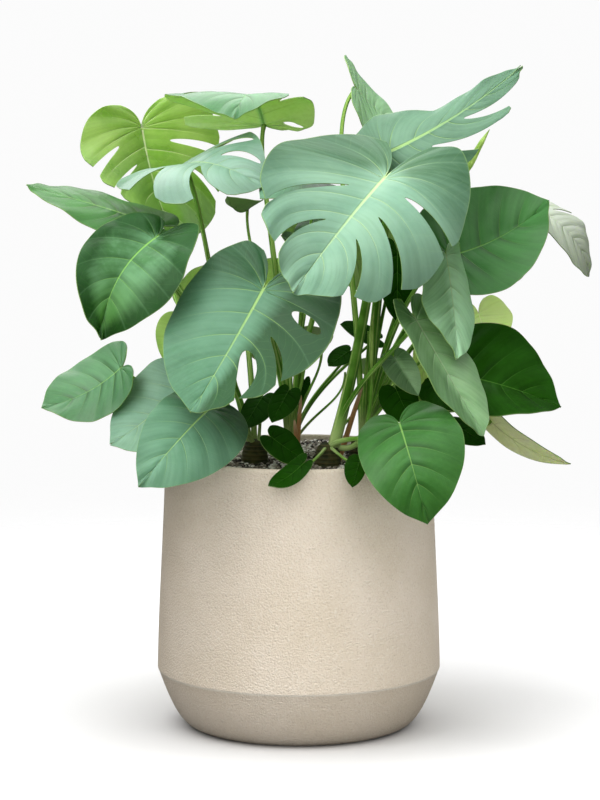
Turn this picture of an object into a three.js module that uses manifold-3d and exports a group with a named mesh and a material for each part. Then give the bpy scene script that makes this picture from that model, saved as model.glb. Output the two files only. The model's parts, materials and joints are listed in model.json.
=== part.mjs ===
// Potted swiss cheese plant (Monstera deliciosa): a round beige planter filled with soil and topped
// with gravel, four rooted crowns of leaf stalks, and the blades that they carry, split and whole.
// Millimetres, +Z up. The origin is the centre of the planter's underside, and -Y is the front.

import * as THREE from 'three';
import { mergeVertices } from 'three/addons/utils/BufferGeometryUtils.js';
import Module from 'manifold-3d';

const wasm = await Module();
wasm.setup();

// Driving dimensions of the planter
const POT_HEIGHT = 370;
const POT_WIDEST = 380;
const POT_WIDEST_HEIGHT = 76;
const POT_MOUTH = 357;
const POT_FOOT = 280;
const POT_WALL = 12;
const POT_FLOOR = 14;
const POT_SIDES = 40;
const RIM_ROUND = 4;

// Rounded lower band, as steps out from the foot and heights, then the leaning wall above the
// bevel, as steps in from the widest place and heights
const LOWER_BAND = [[13, 6], [31, 28], [42, 51]];
const LEANING_WALL = [[0.5, 90], [5, 180], [10, 280]];

// Filling: soil up to SOIL_TOP, then a layer of gravel that ends just under the rim
const SOIL_TOP = 350;
const GRAVEL_TOP = 362;
const GRAVEL_RELIEF = 2;
const GRAVEL_RINGS = 5;
const GRAIN = 9;
const GAP = 0.35;

// Canes of the crowns, narrowed in two steps to their rounded tops
const CANE_RADIUS = 17;
const CANE_SHOULDER = 14.5;
const CANE_NECK = 10;
const CANE_DEPTH = 70;
const CANE_RISE = 38;
const CANE_DOME = 5;
const CANE_SIDES = 10;

// Blades
const BLADE_THICKNESS = 1.2;
const MIDRIB_THICKNESS = 3.4;
const MIDRIB_TAPER = 0.75;

// Stalks: the way that each leaves its cane and comes in to its blade, as shares of its reach
const STALK_SIDES = 5;
const STALK_STEPS = 6;
const STALK_START = 6.8;
const STALK_LEAN = 0.12;
const STALK_LIFT = 0.5;
const STALK_LEAD = 0.16;
const STALK_HANG = 0.45;
const SHEATH_SHARE = 0.62;
const SPEAR_LEAD = 50;

const COLOURS = {
  pale: 0x7fb59a,
  deep: 0x2f6b3c,
  mid: 0x4a8a5c,
  young: 0x8fbf45,
  grey: 0x7d9a84,
  olive: 0xa9b98a,
};

// Colour and roughness of everything but the blades
const POT_LOOK = [0xd3c5b0, 0.7];
const SOIL_LOOK = [0x2b2119, 0.95];
const GRAVEL_LOOK = [0x8c8378, 0.9];
const STALK_LOOK = [0x4f7a3a, 0.5];
const DRIED_LOOK = [0xa06a3c, 0.8];
const BLADE_ROUGHNESS = 0.45;

// Where each crown stands in the soil
const CROWNS = {
  left: [-58, -52],
  middle: [-12, -34],
  right: [38, -88],
  far_right: [84, -18],
};

// Half outline of a blade: x in half widths from the midrib, y in lengths from stalk to tip.
// It runs from the crest of the basal lobe, past the widest place, to the drip tip.
const HALF_OUTLINE = new THREE.SplineCurve([
  new THREE.Vector2(0.26, -0.19),
  new THREE.Vector2(0.55, -0.2),
  new THREE.Vector2(0.83, -0.08),
  new THREE.Vector2(0.98, 0.12),
  new THREE.Vector2(1, 0.33),
  new THREE.Vector2(0.9, 0.54),
  new THREE.Vector2(0.7, 0.72),
  new THREE.Vector2(0.43, 0.865),
  new THREE.Vector2(0.16, 0.95),
  new THREE.Vector2(0, 1),
]);

// Each leaf. Base is where the stalk meets the blade, and tip is the drip tip. Face is the azimuth
// and elevation of the way its upper side looks, with 0, 0 the front. Width is of the left and the
// right half, seen with the tip up.
// Arch lifts the midrib and sway moves it sideways. Fold lifts each half about the midrib and curl
// bends it on towards its margin, both in degrees. Twist turns the blade along its length. Lobe is
// how long its basal lobes are, and slim is how much narrower each half gets past them.
// Stalk is its radius at foot and head, and sheath how much wider its lower part is. Lean and rise
// shape its foot, and bend its head.
// A cut is a slit or, with a to below 1, a hole. At is its place from the sinus (0) to the tip (1)
// at its inner and outer end. From and to run from the midrib (0) to the margin (1). Gape is half
// the opening at its inner part and at its end.
const LEAVES = [
  {
    name: 'leaf_front_centre', crown: 'right', colour: 'pale', grid: 'split',
    base: [110, -100, 736], tip: [-8, -262, 602], face: [-15, 45], width: [140, 134],
    arch: 5, fold: [22, 11], curl: [-75, 9], twist: -34, lobe: 1.55,
    stalk: [9, 4], sheath: 0.5, lean: 0.65,
    cuts: [
      { side: 1, at: [0.47, 0.64], from: 0.21, gape: [0.022, 0.008] },
      { side: 1, at: [0.67, 0.79], from: 0.23, gape: [0.02, 0.02] },
      { side: -1, at: [0.43, 0.4], from: 0.32, gape: [0.025, 0.02] },
      { side: -1, at: [0.56, 0.61], from: 0.25, gape: [0.02, 0.02] },
      { side: -1, at: [0.685, 0.77], from: 0.27, gape: [0.018, 0.02] },
    ],
  },
  {
    name: 'leaf_front_left', crown: 'middle', colour: 'pale', grid: 'split',
    base: [-46, -147, 596], tip: [-135, -261, 452], face: [-10, 39], width: [131, 95],
    arch: -6, sway: 1, fold: [9, 16], curl: [8, -23], twist: 4, lobe: 1.35,
    stalk: [5, 3.2],
    cuts: [
      { side: -1, at: [0.405, 0.41], from: 0.4, to: 0.84, gape: [0.028] },
      { side: -1, at: [0.54, 0.64], from: 0.36, gape: [0.03, 0.01] },
      { side: -1, at: [0.665, 0.78], from: 0.2, gape: [0.12, 0.008] },
    ],
  },
  {
    name: 'leaf_left_dark', crown: 'left', colour: 'deep', grid: 'plain',
    base: [-186, -105, 659], tip: [-250, -205, 538], face: [-20, 30], width: [88, 62],
    arch: 12, sway: 13, fold: [21, 19], curl: [0, -15], twist: -45,
    stalk: [4, 2.6],
  },
  {
    name: 'leaf_far_left_long', crown: 'left', colour: 'grey', grid: 'plain',
    base: [-193, -25, 674], tip: [-357, -44, 725], face: [-10, 64], width: [59, 62],
    arch: 2, fold: [0, 4], curl: [-12, -25], twist: 10,
    stalk: [4, 2.6],
  },
  {
    name: 'leaf_young_left', crown: 'left', colour: 'young', grid: 'split',
    base: [-216, 150, 796], tip: [-164, 95, 638], face: [22, 27], width: [123, 134],
    arch: -18, fold: [13, 30], curl: [-32, -10], twist: -22, lobe: 0.98,
    stalk: [4.5, 3], lean: 0.6, rise: 0.25, bend: [30, -20, -90],
    cuts: [
      { side: -1, at: [0.435, 0.42], from: 0.28, gape: [0.03, 0.02] },
      { side: -1, at: [0.54, 0.6], from: 0.45, gape: [0.02, 0.02] },
      { side: 1, at: [0.41, 0.46], from: 0.4, gape: [0.03, 0.03] },
      { side: 1, at: [0.54, 0.6], from: 0.22, gape: [0.02, 0.02] },
    ],
  },
  {
    name: 'leaf_curled_left', crown: 'left', colour: 'pale', grid: 'split',
    base: [-151, 10, 750], tip: [-43, -80, 726], face: [-13, 61], width: [82, 115],
    arch: 20, sway: 9, fold: [12, 22], curl: [-26, -29], twist: 16,
    stalk: [4, 2.8], lean: 0.5, rise: 0.4,
    cuts: [
      { side: -1, at: [0.5, 0.62], from: 0.36, to: 0.92, gape: [0.042] },
      { side: -1, at: [0.645, 0.8], from: 0.26, to: 0.9, gape: [0.034] },
      { side: 1, at: [0.42, 0.44], from: 0.3, gape: [0.04, 0.06] },
      { side: 1, at: [0.62, 0.7], from: 0.16, gape: [0.05, 0.06] },
    ],
  },
  {
    name: 'leaf_top_centre', crown: 'middle', colour: 'mid', grid: 'split',
    base: [-47, 105, 801], tip: [-85, -40, 812], face: [0, 90], width: [76, 126],
    arch: 36, fold: [6, 6], curl: [-12, -12], lobe: 0.3,
    stalk: [4, 2.8],
    cuts: [
      { side: -1, at: [0.3, 0.2], from: 0.4, to: 0.92, gape: [0.03] },
      { side: -1, at: [0.5, 0.55], from: 0.4, gape: [0.02, 0.06] },
      { side: 1, at: [0.36, 0.36], from: 0.45, gape: [0.03, 0.06] },
      { side: 1, at: [0.6, 0.66], from: 0.4, to: 0.92, gape: [0.03] },
    ],
  },
  {
    name: 'leaf_top_right', crown: 'far_right', colour: 'pale', grid: 'split',
    base: [117, -24, 768], tip: [288, -80, 882], face: [15, 30], width: [74, 64],
    arch: -10, sway: 5, fold: [-5, 5], curl: [-35, -15], lobe: 0.9, slim: [0.6, 0],
    stalk: [9, 3.6], sheath: 1.2,
    cuts: [
      { side: 1, at: [0.52, 0.62], from: 0.3, gape: [0.045, 0.07] },
      { side: 1, at: [0.7, 0.8], from: 0.2, gape: [0.04, 0.06] },
    ],
  },
  {
    name: 'leaf_top_folded', crown: 'far_right', colour: 'pale', grid: 'plain',
    base: [77, 72, 850], tip: [142, 132, 798], face: [62, 33], width: [73, 67],
    arch: -6, fold: [1, 4], curl: [-12, -16], twist: -8,
    stalk: [4, 2.4],
  },
  {
    name: 'leaf_right_heart', crown: 'far_right', colour: 'deep', grid: 'plain',
    base: [200, -50, 634], tip: [329, -44, 706], face: [-29, 20], width: [89, 78],
    arch: -16, sway: 3, fold: [9, 15], curl: [-11, -16], twist: -4, lobe: 1.1,
    stalk: [4.5, 2.8],
  },
  {
    name: 'leaf_far_right_drooping', crown: 'far_right', colour: 'grey', grid: 'split',
    base: [313, 43, 694], tip: [391, 62, 598], face: [30, 42], width: [69, 50],
    arch: 24, sway: 5, fold: [-10, 16], curl: [-27, 6], twist: 10, lobe: 0.8,
    stalk: [4, 2.4],
    cuts: [
      { side: -1, at: [0.45, 0.5], from: 0.3, gape: [0.04, 0.03] },
    ],
  },
  {
    name: 'leaf_right_folded', crown: 'far_right', colour: 'pale', grid: 'plain',
    base: [188, -131, 640], tip: [202, -172, 511], face: [37, 8], width: [40, 66],
    arch: -16, sway: -16, fold: [4, 25], curl: [-36, -16], twist: 11, lobe: 0.4,
    stalk: [4, 2.4],
  },
  {
    name: 'leaf_right_long', crown: 'right', colour: 'grey', grid: 'plain',
    base: [150, -151, 557], tip: [235, -196, 415], face: [39, 26], width: [60, 54],
    fold: [3, 22], curl: [-33, 6], twist: 11,
    stalk: [4, 2.6],
  },
  {
    name: 'leaf_right_dark', crown: 'far_right', colour: 'deep', grid: 'plain',
    base: [200, -64, 479], tip: [341, -100, 440], face: [12, 35], width: [92, 66],
    arch: 16, sway: 4, fold: [8, 14], curl: [-6, -17], twist: -20,
    stalk: [4.5, 2.8],
  },
  {
    name: 'leaf_front_right', crown: 'right', colour: 'mid', grid: 'plain',
    base: [128, -209, 431], tip: [161, -271, 314], face: [-2, 16], width: [73, 61],
    arch: 24, fold: [7, 5], curl: [-23, -23], twist: -9,
    stalk: [4, 2.6],
  },
  {
    name: 'leaf_back_right_young', crown: 'far_right', colour: 'young', grid: 'small',
    base: [243, 61, 548], tip: [277, 38, 502], face: [12, 13], width: [43, 35],
    arch: -11, sway: 4, fold: [9, 5], curl: [-6, -10], twist: 4, lobe: 1.3,
    stalk: [3, 1.8],
  },
  {
    name: 'leaf_young_small', crown: 'far_right', colour: 'young', grid: 'small',
    base: [167, 60, 496], tip: [169, 43, 433], face: [18, 19], width: [15, 15],
    arch: 2, fold: [5, 10], curl: [-12, -8],
    stalk: [2.6, 1.6],
  },
  {
    name: 'leaf_low_right_narrow', crown: 'far_right', colour: 'olive', grid: 'small',
    base: [257, 0, 410], tip: [361, -32, 356], face: [200, 45], width: [20, 36],
    arch: -8, sway: -3, fold: [-5, -5], curl: [-15, -15], twist: 15,
    stalk: [3, 1.8],
  },
  {
    name: 'leaf_low_right_small', crown: 'far_right', colour: 'deep', grid: 'small',
    base: [203, -39, 409], tip: [246, -61, 386], face: [16, 41], width: [19, 23],
    arch: 2, fold: [4, 5], curl: [-11, -10],
    stalk: [2.6, 1.6],
  },
  {
    name: 'leaf_far_left_light', crown: 'left', colour: 'mid', grid: 'plain',
    base: [-233, -65, 487], tip: [-337, -77, 437], face: [-14, 51], width: [61, 63],
    arch: -14, sway: 2, fold: [13, 7], curl: [-15, -26], twist: -9, lobe: 0.75,
    stalk: [3.5, 2.2],
  },
  {
    name: 'leaf_low_left_back', crown: 'left', colour: 'mid', grid: 'plain',
    base: [-151, -100, 471], tip: [-244, -135, 396], face: [-11, 41], width: [70, 66],
    arch: -3, sway: -5, fold: [5, 4], curl: [-20, -20], twist: 5,
    stalk: [3.5, 2.2],
  },
  {
    name: 'leaf_low_left_front', crown: 'left', colour: 'mid', grid: 'plain',
    base: [-115, -184, 447], tip: [-200, -266, 360], face: [0, 31], width: [67, 53],
    arch: 20, sway: -4, fold: [4, 10], curl: [-27, -17],
    stalk: [3.5, 2.2],
  },
  {
    name: 'leaf_small_front', crown: 'middle', colour: 'deep', grid: 'small',
    base: [-35, -146, 406], tip: [9, -135, 376], face: [10, 43], width: [26, 24],
    arch: 3, sway: 4, fold: [11, 10], curl: [-18, -12],
    stalk: [2.4, 1.5],
  },
  {
    name: 'leaf_over_rim_left', crown: 'right', colour: 'deep', grid: 'small',
    base: [5, -192, 378], tip: [-39, -213, 354], face: [0, 43], width: [14, 16],
    arch: -8, fold: [5, 5], curl: [-20, -20],
    stalk: [2.2, 1.4],
  },
  {
    name: 'leaf_over_rim_right', crown: 'right', colour: 'deep', grid: 'small',
    base: [78, -188, 382], tip: [68, -202, 350], face: [0, 30], width: [11, 17],
    arch: 2, fold: [5, 5], curl: [-10, -10],
    stalk: [2.2, 1.4],
  },
  {
    name: 'leaf_cupped', crown: 'middle', colour: 'mid', grid: 'small',
    base: [-69, 60, 689], tip: [-95, -10, 710], face: [0, 82], width: [30, 16],
    arch: -10, fold: [32, 28], curl: [2, -2],
    stalk: [2.8, 1.8],
  },
  {
    name: 'leaf_behind_centre', crown: 'middle', colour: 'mid', grid: 'small',
    base: [25, -57, 730], tip: [-50, -99, 711], face: [-10, 71], width: [45, 48],
    arch: 7, fold: [5, 5], curl: [-10, -10],
    stalk: [2.8, 1.8],
  },
  {
    name: 'leaf_left_young_edge', crown: 'left', colour: 'young', grid: 'small',
    base: [-145, 0, 532], tip: [-169, 14, 475], face: [-21, 21], width: [45, 49],
    fold: [5, 5], curl: [-10, -10],
    stalk: [2.8, 1.8],
  },
  {
    name: 'leaf_inner_left', crown: 'left', colour: 'deep', grid: 'small',
    base: [-48, -60, 448], tip: [-73, -100, 411], face: [-10, 45], width: [24, 18],
    fold: [5, 5], curl: [-10, -10],
    stalk: [2.4, 1.5],
  },
  {
    name: 'leaf_inner_middle', crown: 'middle', colour: 'deep', grid: 'small',
    base: [-14, -85, 458], tip: [-35, -122, 423], face: [-5, 45], width: [20, 17],
    fold: [5, 5], curl: [-10, -10],
    stalk: [2.4, 1.5],
  },
  {
    name: 'leaf_inner_grey', crown: 'far_right', colour: 'grey', grid: 'small',
    base: [126, -92, 502], tip: [155, -115, 457], face: [18, 19], width: [20, 30],
    fold: [25, 24], curl: [0, 0],
    stalk: [2.6, 1.6],
  },
  {
    name: 'leaf_inner_right', crown: 'far_right', colour: 'deep', grid: 'small',
    base: [127, -72, 460], tip: [148, -92, 416], face: [10, 30], width: [24, 28],
    fold: [5, 5], curl: [-10, -10],
    stalk: [2.6, 1.6],
  },
  {
    name: 'leaf_inner_low', crown: 'far_right', colour: 'deep', grid: 'small',
    base: [172, -20, 451], tip: [206, -50, 428], face: [10, 40], width: [26, 26],
    fold: [5, 5], curl: [-10, -10],
    stalk: [2.6, 1.6],
  },
  {
    name: 'leaf_inner_top', crown: 'middle', colour: 'deep', grid: 'small',
    base: [28, 20, 621], tip: [-24, -10, 658], face: [-10, 60], width: [40, 40],
    fold: [5, 5], curl: [-10, -10],
    stalk: [2.8, 1.8],
  },
  {
    name: 'leaf_back_centre', crown: 'middle', colour: 'mid', grid: 'plain',
    base: [60, 150, 690], tip: [90, 270, 560], face: [170, 35], width: [95, 95],
    arch: 8, fold: [8, 8], curl: [-25, -25], lobe: 1.1,
    stalk: [4, 2.6],
  },
  {
    name: 'leaf_back_right', crown: 'far_right', colour: 'deep', grid: 'plain',
    base: [210, 110, 650], tip: [290, 200, 570], face: [140, 40], width: [80, 80],
    arch: 8, fold: [8, 8], curl: [-20, -20],
    stalk: [4, 2.4],
  },
  {
    name: 'leaf_back_left', crown: 'left', colour: 'mid', grid: 'plain',
    base: [-80, 150, 600], tip: [-120, 270, 510], face: [200, 40], width: [85, 85],
    arch: 8, fold: [8, 8], curl: [-22, -22],
    stalk: [4, 2.4],
  },
  {
    name: 'leaf_back_low', crown: 'far_right', colour: 'deep', grid: 'plain',
    base: [140, 150, 470], tip: [190, 260, 400], face: [160, 45], width: [70, 70],
    arch: 8, fold: [8, 8], curl: [-20, -20],
    stalk: [3.5, 2.2],
  },
  {
    name: 'leaf_inner_dark', crown: 'middle', colour: 'deep', grid: 'small',
    base: [67, -4, 503], tip: [39, -24, 486], face: [-15, 40], width: [15, 17],
    fold: [5, 5], curl: [-10, -10],
    stalk: [2.8, 1.7],
  },
  {
    name: 'leaf_inner_shade', crown: 'middle', colour: 'deep', grid: 'small',
    base: [104, 40, 517], tip: [55, 15, 538], face: [-10, 50], width: [20, 20],
    fold: [5, 5], curl: [-10, -10],
    stalk: [3, 1.8],
  },
  {
    name: 'leaf_inner_tall', crown: 'far_right', colour: 'deep', grid: 'small',
    base: [130, -10, 636], tip: [128, -45, 547], face: [10, 20], width: [24, 26],
    arch: 4, fold: [8, 8], curl: [-12, -12],
    stalk: [3.2, 2],
  },
  {
    name: 'leaf_inner_small', crown: 'middle', colour: 'deep', grid: 'small',
    base: [7, 5, 463], tip: [-2, -12, 431], face: [-5, 30], width: [10, 12],
    fold: [5, 5], curl: [-10, -10],
    stalk: [2.4, 1.5],
  },
  {
    name: 'leaf_behind_high', crown: 'middle', colour: 'deep', grid: 'small',
    base: [31, 84, 671], tip: [2, 56, 635], face: [-10, 60], width: [26, 28],
    arch: 4, fold: [5, 5], curl: [-14, -14],
    stalk: [3.2, 2],
  },
  {
    name: 'leaf_back_middle', crown: 'middle', colour: 'mid', grid: 'plain',
    base: [-10, 90, 520], tip: [-30, 200, 455], face: [188, 45], width: [62, 62],
    arch: 8, fold: [8, 8], curl: [-20, -20],
    stalk: [3.4, 2.2],
  },
];

// Rolled new leaves, each standing on a stalk of its own
const SPEARS = [
  {
    name: 'new_leaf_right', crown: 'far_right', radius: 5, stalk: [3, 2.4],
    base: [226, 40, 742], tip: [254, 30, 797],
  },
  {
    name: 'new_leaf_middle', crown: 'right', radius: 3, stalk: [4.6, 2.8],
    base: [95, -90, 490], tip: [98, -96, 572], lean: 0.9, rise: -0.16,
  },
];
const SPEAR_PROFILE = [[0, 0], [0.6, 0], [1, 0.2], [0.8, 0.65], [0, 1]];
const SPEAR_SIDES = 8;

// Stalks whose blades are gone, and a pale young sheath: each rises from its cane to a free end
const BARE_STALKS = [
  { crown: 'far_right', end: [91, -62, 536], stalk: [4.2, 0.8] },
  { crown: 'middle', end: [9, -70, 510], stalk: [2.4, 1.5] },
  { crown: 'middle', end: [30, -62, 511], stalk: [2.4, 1.5] },
  { crown: 'middle', end: [61, -50, 481], stalk: [2.2, 1.3], lean: 0.4 },
  { crown: 'right', end: [83, -50, 460], stalk: [2.2, 1.3], lean: 0.3 },
];
const BARE_LEAD = 40;

// Dried brown sheaths of old leaves, standing against the canes
const DRIED = [
  { name: 'dried_sheath_left', foot: [2, -72, 364.3], tip: [-6, -84, 422], width: 7 },
  { name: 'dried_sheath_middle', foot: [-3, -53, 364.5], tip: [3, -64, 452], width: 6 },
  { name: 'dried_sheath_right', foot: [52, -62, 362.3], tip: [84, -72, 468], width: 7 },
];
const DRIED_THICKNESS = 1.5;
const DRIED_TIP = 0.4;
const DRIED_SHOULDER = 0.6;

// How finely each kind of blade is divided: columns from sinus to tip, rows from midrib to margin
const GRIDS = {
  split: {
    columns: [0, 0.11, 0.22, 0.33, 0.44, 0.55, 0.66, 0.78, 0.9, 1],
    rows: [0, 0.07, 0.3, 0.53, 0.77, 1],
  },
  plain: {
    columns: [0, 0.11, 0.22, 0.33, 0.45, 0.57, 0.69, 0.84, 1],
    rows: [0, 0.1, 0.55, 1],
  },
  small: {
    columns: [0, 0.18, 0.36, 0.54, 0.75, 1],
    rows: [0, 0.14, 1],
  },
};

// Veins up to this place all leave from the stalk, and the rest leave along the midrib
const PALMATE = 0.38;
const LAST_VEIN = 0.93;

// Bends of a vein: across and along at the sinus, then across and along past the palmate veins
const SINUS_BEND = [0.04, -0.13];
const VEIN_BEND = [0.55, 0.3];

// The corners beside a slit are rounded over this reach, from this row on, by this much
const CORNER_REACH = 0.05;
const CORNER_FROM = 0.6;
const CORNER_ROUND = 0.06;

// Rows within this distance of a cut move towards its ends
const CUT_REACH = 0.08;
const SLIM_FROM = 0.35;

// Flat points closer than this, in widths or lengths, are one vertex
const SAME_PLACE = 5e-5;
const TINY = 1e-6;

const radians = THREE.MathUtils.degToRad;
const { clamp, lerp } = THREE.MathUtils;

// Closed three.js geometry to a solid that can be joined and cut, and back again
function toSolid(geometry) {
  const bare = geometry.index ? geometry.toNonIndexed() : geometry.clone();
  bare.deleteAttribute('normal');
  bare.deleteAttribute('uv');
  const merged = mergeVertices(bare, 1e-4);
  const vertProperties = new Float32Array(merged.attributes.position.array);
  const triVerts = new Uint32Array(withoutSlivers(merged.index.array));
  return new wasm.Manifold(new wasm.Mesh({ numProp: 3, vertProperties, triVerts }));
}

function withoutSlivers(index) {
  const kept = [];
  for (let i = 0; i < index.length; i += 3) {
    const [a, b, c] = [index[i], index[i + 1], index[i + 2]];
    if (a !== b && b !== c && c !== a) kept.push(a, b, c);
  }
  return kept;
}

function toGeometry(solid) {
  const mesh = solid.getMesh();
  return makeGeometry(Array.from(mesh.vertProperties), Array.from(mesh.triVerts));
}

function makeGeometry(positions, indices) {
  const geometry = new THREE.BufferGeometry();
  geometry.setAttribute('position', new THREE.Float32BufferAttribute(positions, 3));
  geometry.setIndex(indices);
  geometry.computeVertexNormals();
  return geometry;
}

// A profile of radius and height pairs turned about an upright axis
function turned(profile, sides) {
  const points = profile.map(([radius, height]) => new THREE.Vector2(radius, height));
  const geometry = new THREE.LatheGeometry(points, sides);
  geometry.rotateX(Math.PI / 2);
  return geometry;
}

// Inside of the planter from the middle of its floor to below its rim, drawn in by a gap
function insideProfile(gap) {
  const foot = POT_FOOT / 2;
  const widest = POT_WIDEST / 2 - POT_WALL;
  const mouth = POT_MOUTH / 2 - POT_WALL + 1;
  return [
    [0, POT_FLOOR + gap],
    [foot - 2 - 2 * gap, POT_FLOOR + gap],
    [foot + 24 - 2 * gap, POT_WIDEST_HEIGHT / 2 + gap],
    [widest - 1.5 * gap, POT_WIDEST_HEIGHT + 10],
    [widest - RIM_ROUND - gap, POT_HEIGHT / 2],
    [mouth - gap, SOIL_TOP - 20],
  ];
}

// Planter: a flat foot, a rounded lower band up to a crisp bevel at the widest place, walls that
// lean in to the mouth, and a rounded rim
function potProfile() {
  const widest = POT_WIDEST / 2;
  const mouth = POT_MOUTH / 2;
  const foot = POT_FOOT / 2;
  const inner = mouth - POT_WALL + 1;
  return [
    [0, 0],
    [foot, 0],
    ...LOWER_BAND.map(([out, height]) => [foot + out, height]),
    [widest, POT_WIDEST_HEIGHT],
    ...LEANING_WALL.map(([inwards, height]) => [widest - inwards, height]),
    [mouth, POT_HEIGHT - RIM_ROUND],
    [mouth - RIM_ROUND, POT_HEIGHT],
    [inner + RIM_ROUND, POT_HEIGHT],
    [inner, POT_HEIGHT - RIM_ROUND],
    ...insideProfile(0).reverse(),
  ];
}

function soilProfile() {
  const inside = insideProfile(GAP);
  const reach = inside[inside.length - 1][0];
  return [...inside, [reach, SOIL_TOP], [0, SOIL_TOP]];
}

// Round holes in the filling, one around each cane
function withoutCanes(solid) {
  let result = solid;
  const bottom = SOIL_TOP - CANE_DEPTH - GAP;
  for (const [x, y] of Object.values(CROWNS)) {
    const hole = new THREE.CylinderGeometry(
      CANE_RADIUS + GAP,
      CANE_RADIUS + GAP,
      POT_HEIGHT - bottom,
      CANE_SIDES,
    );
    hole.rotateX(Math.PI / 2);
    hole.translate(x, y, (POT_HEIGHT + bottom) / 2);
    result = result.subtract(toSolid(hole));
  }
  return result;
}

// Even spread of numbers from 0 to 1 that is the same each time
function makeRandom() {
  const factor = 16807;
  const range = 2147483647;
  let state = 7;
  return () => {
    state = (state * factor) % range;
    return state / range;
  };
}

// Gravel: a disc whose upper face is uneven grains, with its rim against the planter's wall
function gravelGeometry() {
  const outer = POT_MOUTH / 2 - POT_WALL + 1 - GAP;
  const bottom = SOIL_TOP + GAP;
  const positions = [0, 0, GRAVEL_TOP, 0, 0, bottom];
  const indices = [];
  const random = makeRandom();
  const row = (ring) => 2 + ring * POT_SIDES;
  for (let ring = 0; ring <= GRAVEL_RINGS; ring += 1) {
    const isBottom = ring === GRAVEL_RINGS;
    const isRim = ring >= GRAVEL_RINGS - 1;
    for (let side = 0; side < POT_SIDES; side += 1) {
      const angle = (side / POT_SIDES) * 2 * Math.PI;
      const wander = isRim ? 0 : (random() - 0.5) * GRAIN;
      const relief = (random() - 0.5) * 2 * GRAVEL_RELIEF;
      const reach = isRim ? outer : (outer * (ring + 1)) / GRAVEL_RINGS + wander;
      const height = isBottom ? bottom : GRAVEL_TOP + relief;
      positions.push(reach * Math.sin(angle), -reach * Math.cos(angle), height);
    }
  }
  for (let side = 0; side < POT_SIDES; side += 1) {
    const next = (side + 1) % POT_SIDES;
    indices.push(0, row(0) + side, row(0) + next);
    for (let ring = 0; ring < GRAVEL_RINGS; ring += 1) {
      const [a, b] = [row(ring) + side, row(ring) + next];
      const [c, d] = [row(ring + 1) + side, row(ring + 1) + next];
      indices.push(a, c, d, a, d, b);
    }
    indices.push(1, row(GRAVEL_RINGS) + next, row(GRAVEL_RINGS) + side);
  }
  return makeGeometry(positions, indices);
}

// Frame of a blade: its chord, the way its upper side looks, the way its right half lies, how far
// its midrib is lifted half way, and the midrib's direction and normal at the stalk
function bladeFrame(leaf) {
  const base = new THREE.Vector3(...leaf.base);
  const chord = new THREE.Vector3(...leaf.tip).sub(base);
  const [azimuth, elevation] = leaf.face.map(radians);
  const up = new THREE.Vector3(
    Math.cos(elevation) * Math.sin(azimuth),
    -Math.cos(elevation) * Math.cos(azimuth),
    Math.sin(elevation),
  );
  up.projectOnPlane(chord).normalize();
  const right = chord.clone().cross(up).normalize();
  const lift = up.clone().multiplyScalar(leaf.arch ?? 0).addScaledVector(right, leaf.sway ?? 0);
  const along = chord.clone().addScaledVector(lift, 4).normalize();
  const normal = up.clone().projectOnPlane(along).normalize();
  return { base, chord, up, lift, along, normal };
}

// Edge of a cut at a row, on its sinus side (-1) or its tip side (1). It is round at the inner end,
// and a hole closes again at its outer end.
function cutEdge(cut, row, way) {
  const share = (row - cut.from) / ((cut.to ?? 1) - cut.from);
  const outwards = clamp(share, 0, 1);
  const middle = lerp(cut.at[0], cut.at[1], outwards);
  if (share <= TINY || (cut.to && share >= 1 - TINY)) return middle;
  const wide = cut.to
    ? cut.gape[0] * Math.sqrt(Math.sin(Math.PI * outwards))
    : Math.sqrt(outwards) * lerp(cut.gape[0], cut.gape[1], outwards);
  return middle + way * wide;
}

// Rows of a column, moved so that one row passes each end of a cut close by
function warpedRows(rows, cuts, column) {
  const knots = [[0, 0], [1, 1]];
  for (const cut of cuts) {
    const weight = Math.max(0, 1 - Math.abs(column - cut.at[0]) / CUT_REACH);
    for (const end of [cut.from, cut.to]) {
      if (end === undefined || weight === 0) continue;
      const nearer = (a, b) => (Math.abs(b - end) < Math.abs(a - end) ? b : a);
      const nearest = rows.slice(1, -1).reduce(nearer);
      if (knots.some(([from]) => from === nearest)) continue;
      knots.push([nearest, lerp(nearest, end, weight)]);
    }
  }
  knots.sort((a, b) => a[0] - b[0]);
  return rows.map((row) => {
    const k = Math.max(1, knots.findIndex(([from]) => from >= row - TINY));
    const [[x0, y0], [x1, y1]] = [knots[k - 1], knots[k]];
    return y0 + ((row - x0) / (x1 - x0)) * (y1 - y0);
  });
}

// Flat place of a point on a half blade, x in half widths and y in lengths, found along its vein
function veinPoint(place, row, lobe) {
  const rim = HALF_OUTLINE.getPoint(clamp(place, 0, 1));
  const rimY = rim.y < 0 ? rim.y * lobe : rim.y;
  const start = clamp((place - PALMATE) / (1 - PALMATE), 0, 1) * LAST_VEIN;
  const blend = clamp(place / PALMATE, 0, 1);
  const bendX = lerp(SINUS_BEND[0], VEIN_BEND[0] * rim.x, blend);
  const bendY = lerp(SINUS_BEND[1] * lobe, start + VEIN_BEND[1] * (rimY - start), blend);
  const rest = 1 - row;
  return [
    2 * bendX * row * rest + rim.x * row * row,
    start * rest * rest + 2 * bendY * row * rest + rimY * row * row,
  ];
}

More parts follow.
